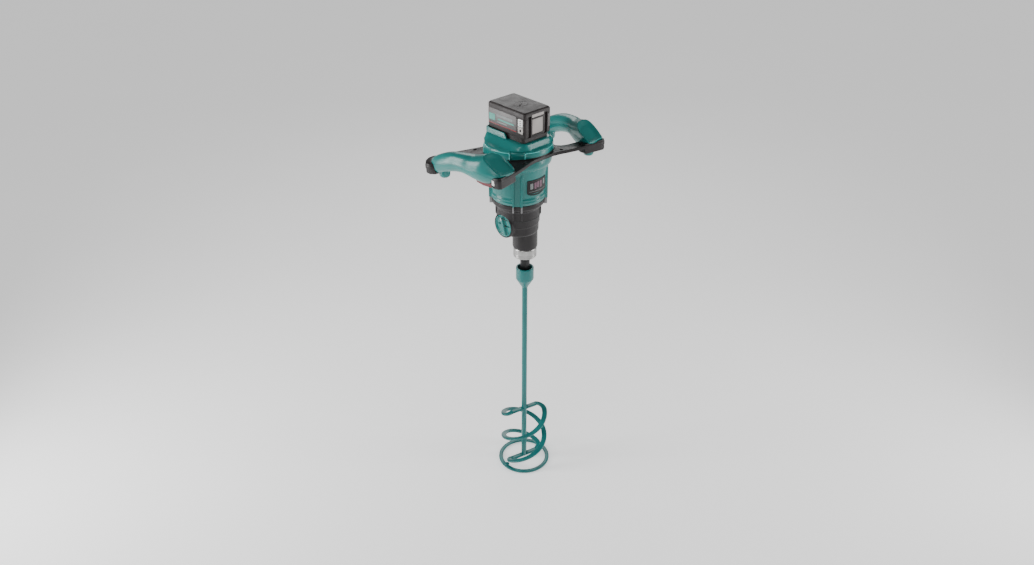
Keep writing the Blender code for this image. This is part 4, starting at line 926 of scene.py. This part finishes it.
def build_handles():
    softened("handle_frame", "dark_plastic", "machine", 1.3)
    build_grip("trigger", -1)
    build_grip("plain", 1)
    for kind, side in (("trigger", -1), ("plain", 1)):
        for place, x, y, low in FEET:
            if kind == "trigger" and place == "front":
                continue
            profile = [(0, low), (8, low), (11.5, low + 3), (12.6, low + 8), (12, low + 25), (0, low + 25)]
            foot = lathe(fillet(profile, 3.0, steps=5), (side * x, y), 64)
            node = f"{kind}_grip_foot_{place}"
            add_piece(f"{node}_smooth", foot, "teal_plastic", "machine", (node,))
    softened("trigger", "red_plastic", "trigger", 1.6)
    softened("lock_button", "white_plastic", "lock_button", 1.0)


# ---- battery ------------------------------------------------------------------------------
def side_plate(name, y0, y1, z0, z1, out, finish, corner=1.5):
    """A thin plate on the battery's -X side."""
    outline = fillet([(y0, z0), (y1, z0), (y1, z1), (y0, z1)], corner, True, 4)
    x = BATTERY_SIDE
    rows = [[(x + 0.6, y, z) for y, z in outline], [(x - out * 0.6, y, z) for y, z in outline]]
    cy, cz = (y0 + y1) / 2, (z0 + z1) / 2
    rows.append([(x - out, cy + (y - cy) * 0.99, cz + (z - cz) * 0.98) for y, z in outline])
    add_piece(name, rows_mesh(rows), finish, "battery")


def front_plate(name, x0, x1, z0, z1, out, finish, corner=1.0):
    """A thin plate on the battery's -Y end."""
    outline = fillet([(x0, z0), (x1, z0), (x1, z1), (x0, z1)], corner, True, 4)
    y = BATTERY_END
    rows = [[(x, y + 0.6, z) for x, z in outline], [(x, y - out, z) for x, z in outline]]
    add_piece(name, rows_mesh(rows), finish, "battery")


low_corner, high_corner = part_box("battery_case")
BATTERY_SIDE, BATTERY_END, BATTERY_REAR = low_corner.x / MM, low_corner.y / MM, high_corner.y / MM
SLOT_OUT, SLOT_HALF, CORNER_R = 24.5, 4.0, 5.0
# Level, how far the sides are drawn in, how much more the front is, and the depth of the end slots.
CASE_LEVELS = (
    (974.0, 2.6, 4.0, 0.0), (974.6, 2.0, 4.0, 0.0), (985.7, 2.0, 4.0, 0.0), (986.0, 1.0, 0.0, 0.0),
    (986.7, 0.5, 0.0, 1.6), (987.6, 0.15, 0.0, 3.7), (989.0, 0.0, 0.0, 4.0), (1029.0, 0.0, 0.0, 4.0),
    (1029.5, 0.2, 0.0, 4.0), (1029.7, 0.6, 0.0, 4.0),
)
LID_LEVELS = (
    (1030.0, 0.6, 0.0, 4.0), (1030.2, 0.2, 0.0, 4.0), (1030.8, 0.0, 0.0, 4.0), (1034.4, 0.0, 0.0, 4.0),
    (1035.0, 0.0, 0.0, 3.4), (1035.5, 0.0, 0.0, 0.0), (1041.4, 0.2, 0.0, 0.0), (1042.2, 0.6, 0.0, 0.0),
    (1044.1, 2.3, 0.0, 0.0), (1044.8, 3.2, 0.0, 0.0), (1045.0, 4.2, 0.0, 0.0),
)


def battery_row(z, inset, front_inset, depth):
    """A level cut through the battery, with the two slots in its front end."""
    half = -BATTERY_SIDE - inset
    front, rear = BATTERY_END + inset + front_inset, BATTERY_REAR - inset
    mouth, floor = SLOT_HALF + 0.4, SLOT_HALF - 0.2
    row = []
    for middle in (-SLOT_OUT, SLOT_OUT):
        for out, share in ((-mouth, 0), (-floor, 1), (floor, 1), (mouth, 0)):
            row.append((middle + out, front + depth * share, z))
    corners = ((half, front, -90), (half, rear, 0), (-half, rear, 90), (-half, front, 180))
    for x, y, start in corners:
        centre_x = x - math.copysign(CORNER_R, x)
        centre_y = y + CORNER_R if y == front else y - CORNER_R
        for step in range(7):
            angle = math.radians(start + 15 * step)
            row.append((centre_x + CORNER_R * math.cos(angle), centre_y + CORNER_R * math.sin(angle), z))
    return row


def build_battery_case():
    """The battery's case and lid, with a recess for the release panel."""
    case = new_object("battery_case_smooth", rows_mesh([battery_row(*level) for level in CASE_LEVELS]))
    recess = slab((-16.6, BATTERY_END - 4, 992.0), (16.6, BATTERY_END + 5.5, 1027.0))
    combine(case, recess, "release_recess", "DIFFERENCE")
    dress(case, "battery_plastic", "battery", ("battery_case",), 32)
    lid = rows_mesh([battery_row(*level) for level in LID_LEVELS])
    nodes = ("battery_lid",)
    add_piece("battery_lid_smooth", lid, "battery_plastic", "battery", nodes, sharp=32)


BADGE_Y, BADGE_LOW = -8.0, 1044.6


def build_battery():
    """The battery, its label and gauge on the -X side, its badge on top and the panel on its front end."""
    build_battery_case()
    softened("battery_release", "grey_plastic", "battery_release", 0.5)
    softened("gauge_button", "label_light", "gauge_button", 0.4)
    side_plate("side_label", -36, 55.5, 997, 1032, 0.45, "label_grey", 2.5)
    side_plate("side_label_line", -36, 55.0, 997.4, 998.8, 0.7, "label_red", 0.3)
    side_plate("side_label_patch", 33, 53, 1005, 1020, 0.75, "label_mint", 1.0)
    side_plate("side_label_word_1", -24, 29, 1017, 1022, 0.7, "label_light", 1.2)
    side_plate("side_label_word_2", -28, 24, 1009, 1012.5, 0.7, "label_mint", 1.0)
    side_plate("side_label_word_3", -6, 26, 1003, 1005.5, 0.7, "label_light", 0.8)
    side_plate("gauge_plate", -56.5, -41, 997, 1011.5, 0.3, "grey_plastic", 1.0)
    side_plate("gauge_window", -56, -42, 1013, 1030, 0.6, "white_plastic", 1.2)
    for index in range(3):
        low = 1015.5 + 4.6 * index
        side_plate(f"gauge_led_{index}", -51.5, -46.5, low, low + 2.2, 0.9, "label_grey", 0.5)
    badge_profile = [(0, 0), (15, 0), (15, 0.7), (13.2, 0.7), (12.6, 0.3), (0, 0.3)]
    badge = lathe(fillet(badge_profile, 0.3, steps=2), segments=80)
    place = Matrix.Translation((0, BADGE_Y, BADGE_LOW)) @ Matrix.Diagonal((1.35, 0.95, 1.0, 1.0))
    bmesh.ops.transform(badge, matrix=place, verts=badge.verts)
    add_piece("lid_badge", badge, "battery_plastic", "battery")
    bar = slab((-13, -1.6, BADGE_LOW + 0.2), (13, 1.6, BADGE_LOW + 0.9))
    bmesh.ops.rotate(bar, cent=(0, 0, 0), matrix=Matrix.Rotation(math.radians(35), 3, "Z"), verts=bar.verts)
    bmesh.ops.translate(bar, vec=(0, BADGE_Y, 0), verts=bar.verts)
    add_piece("lid_badge_bar", bar, "battery_plastic", "battery", rounding=0.3)
    front_plate("end_strip", 31.5, 37, 1000, 1030, 0.4, "label_grey")
    front_plate("end_panel_top", -17.5, 17.5, 1031.5, 1038.0, 0.35, "grey_plastic", 0.8)
    # The black strip below the release recess is painted shade of a slot.
    front_plate("end_latch_tab", -15, 15, 988.7, 991.2, 0.5, "recess_painted_shade", 0.6)


# ---- hidden nodes keep their shape and get a detailed finish --------------------------------
def finish_nodes():
    finishes = {item["node"]: item["material_slot"] for item in frame["record"]["subparts"]}
    for name, obj in frame["nodes"].items():
        finish = finishes.get(name, "dark_plastic")
        obj.data.materials.clear()
        obj.data.materials.append(MATERIALS.get(finish, MATERIALS["dark_plastic"]))
        obj.data.shade_smooth()


# ---- floor, lights and camera -------------------------------------------------------------
def area_light(name, location, target, size, power):
    data = bpy.data.lights.new(name, "AREA")
    data.shape = "RECTANGLE"
    data.size, data.size_y = size
    data.energy = power
    obj = bpy.data.objects.new(name, data)
    obj.location = location
    obj.rotation_euler = (Vector(target) - Vector(location)).to_track_quat("-Z", "Y").to_euler()
    bpy.context.scene.collection.objects.link(obj)


CAMERA_AZIMUTH, CAMERA_PITCH = math.radians(-43), math.radians(31.1)
CAMERA_BACK, CAMERA_SIDE, CAMERA_HEIGHT = 1.93, -0.0033, 1.7447
CAMERA_LENS, SENSOR = 31.68, 36.0
FLOOR_GLOW, SKY = 0.62, 0.22


def build_stage():
    floor = new_object("floor", slab((-9000, -9000, -12), (9000, 9000, -2.0)))
    surface = Surface("floor", 0.65)
    tone = surface.noise(1.5, 2.0)
    surface.colour(surface.ramp(tone, [(0.3, (0.86, 0.86, 0.86)), (0.7, (0.90, 0.90, 0.90))]))
    surface.shader.inputs["Emission Color"].default_value = (1.0, 1.0, 1.0, 1)
    surface.shader.inputs["Emission Strength"].default_value = FLOOR_GLOW
    floor.data.materials.append(surface.material)

    world = bpy.data.worlds.new("soft_sky")
    world.use_nodes = True
    background = world.node_tree.nodes["Background"]
    background.inputs["Color"].default_value = (1.0, 1.0, 1.0, 1)
    background.inputs["Strength"].default_value = SKY
    bpy.context.scene.world = world

    middle = (0, 0, 0.85)
    area_light("left_strip", (-1.25, 0.90, 1.15), middle, (0.45, 1.7), 30)
    area_light("right_strip", (1.05, -1.15, 1.15), middle, (0.40, 1.7), 16)
    area_light("key", (-1.7, -0.6, 2.1), middle, (0.9, 0.9), 9)
    area_light("back", (1.3, 1.5, 1.9), middle, (1.0, 1.0), 10)
    area_light("low", (-0.9, -1.5, 0.5), (0.02, 0, 0.2), (0.8, 0.8), 3)


def build_camera():
    back = Vector((math.sin(CAMERA_AZIMUTH), -math.cos(CAMERA_AZIMUTH), 0))
    right = Vector((math.cos(CAMERA_AZIMUTH), math.sin(CAMERA_AZIMUTH), 0))
    towards = -back * math.cos(CAMERA_PITCH) - Vector((0, 0, math.sin(CAMERA_PITCH)))
    data = bpy.data.cameras.new("camera")
    data.lens = CAMERA_LENS
    data.sensor_width = SENSOR
    camera = bpy.data.objects.new("camera", data)
    camera.location = back * CAMERA_BACK + right * CAMERA_SIDE + Vector((0, 0, CAMERA_HEIGHT))
    camera.rotation_euler = towards.to_track_quat("-Z", "Y").to_euler()
    bpy.context.scene.collection.objects.link(camera)
    bpy.context.scene.camera = camera


build_camera()
finish_nodes()
build_paddle()
build_collar()
build_gearbox()
build_knob()
build_motor_housing()
build_top_cover()
build_handles()
build_battery()
build_stage()
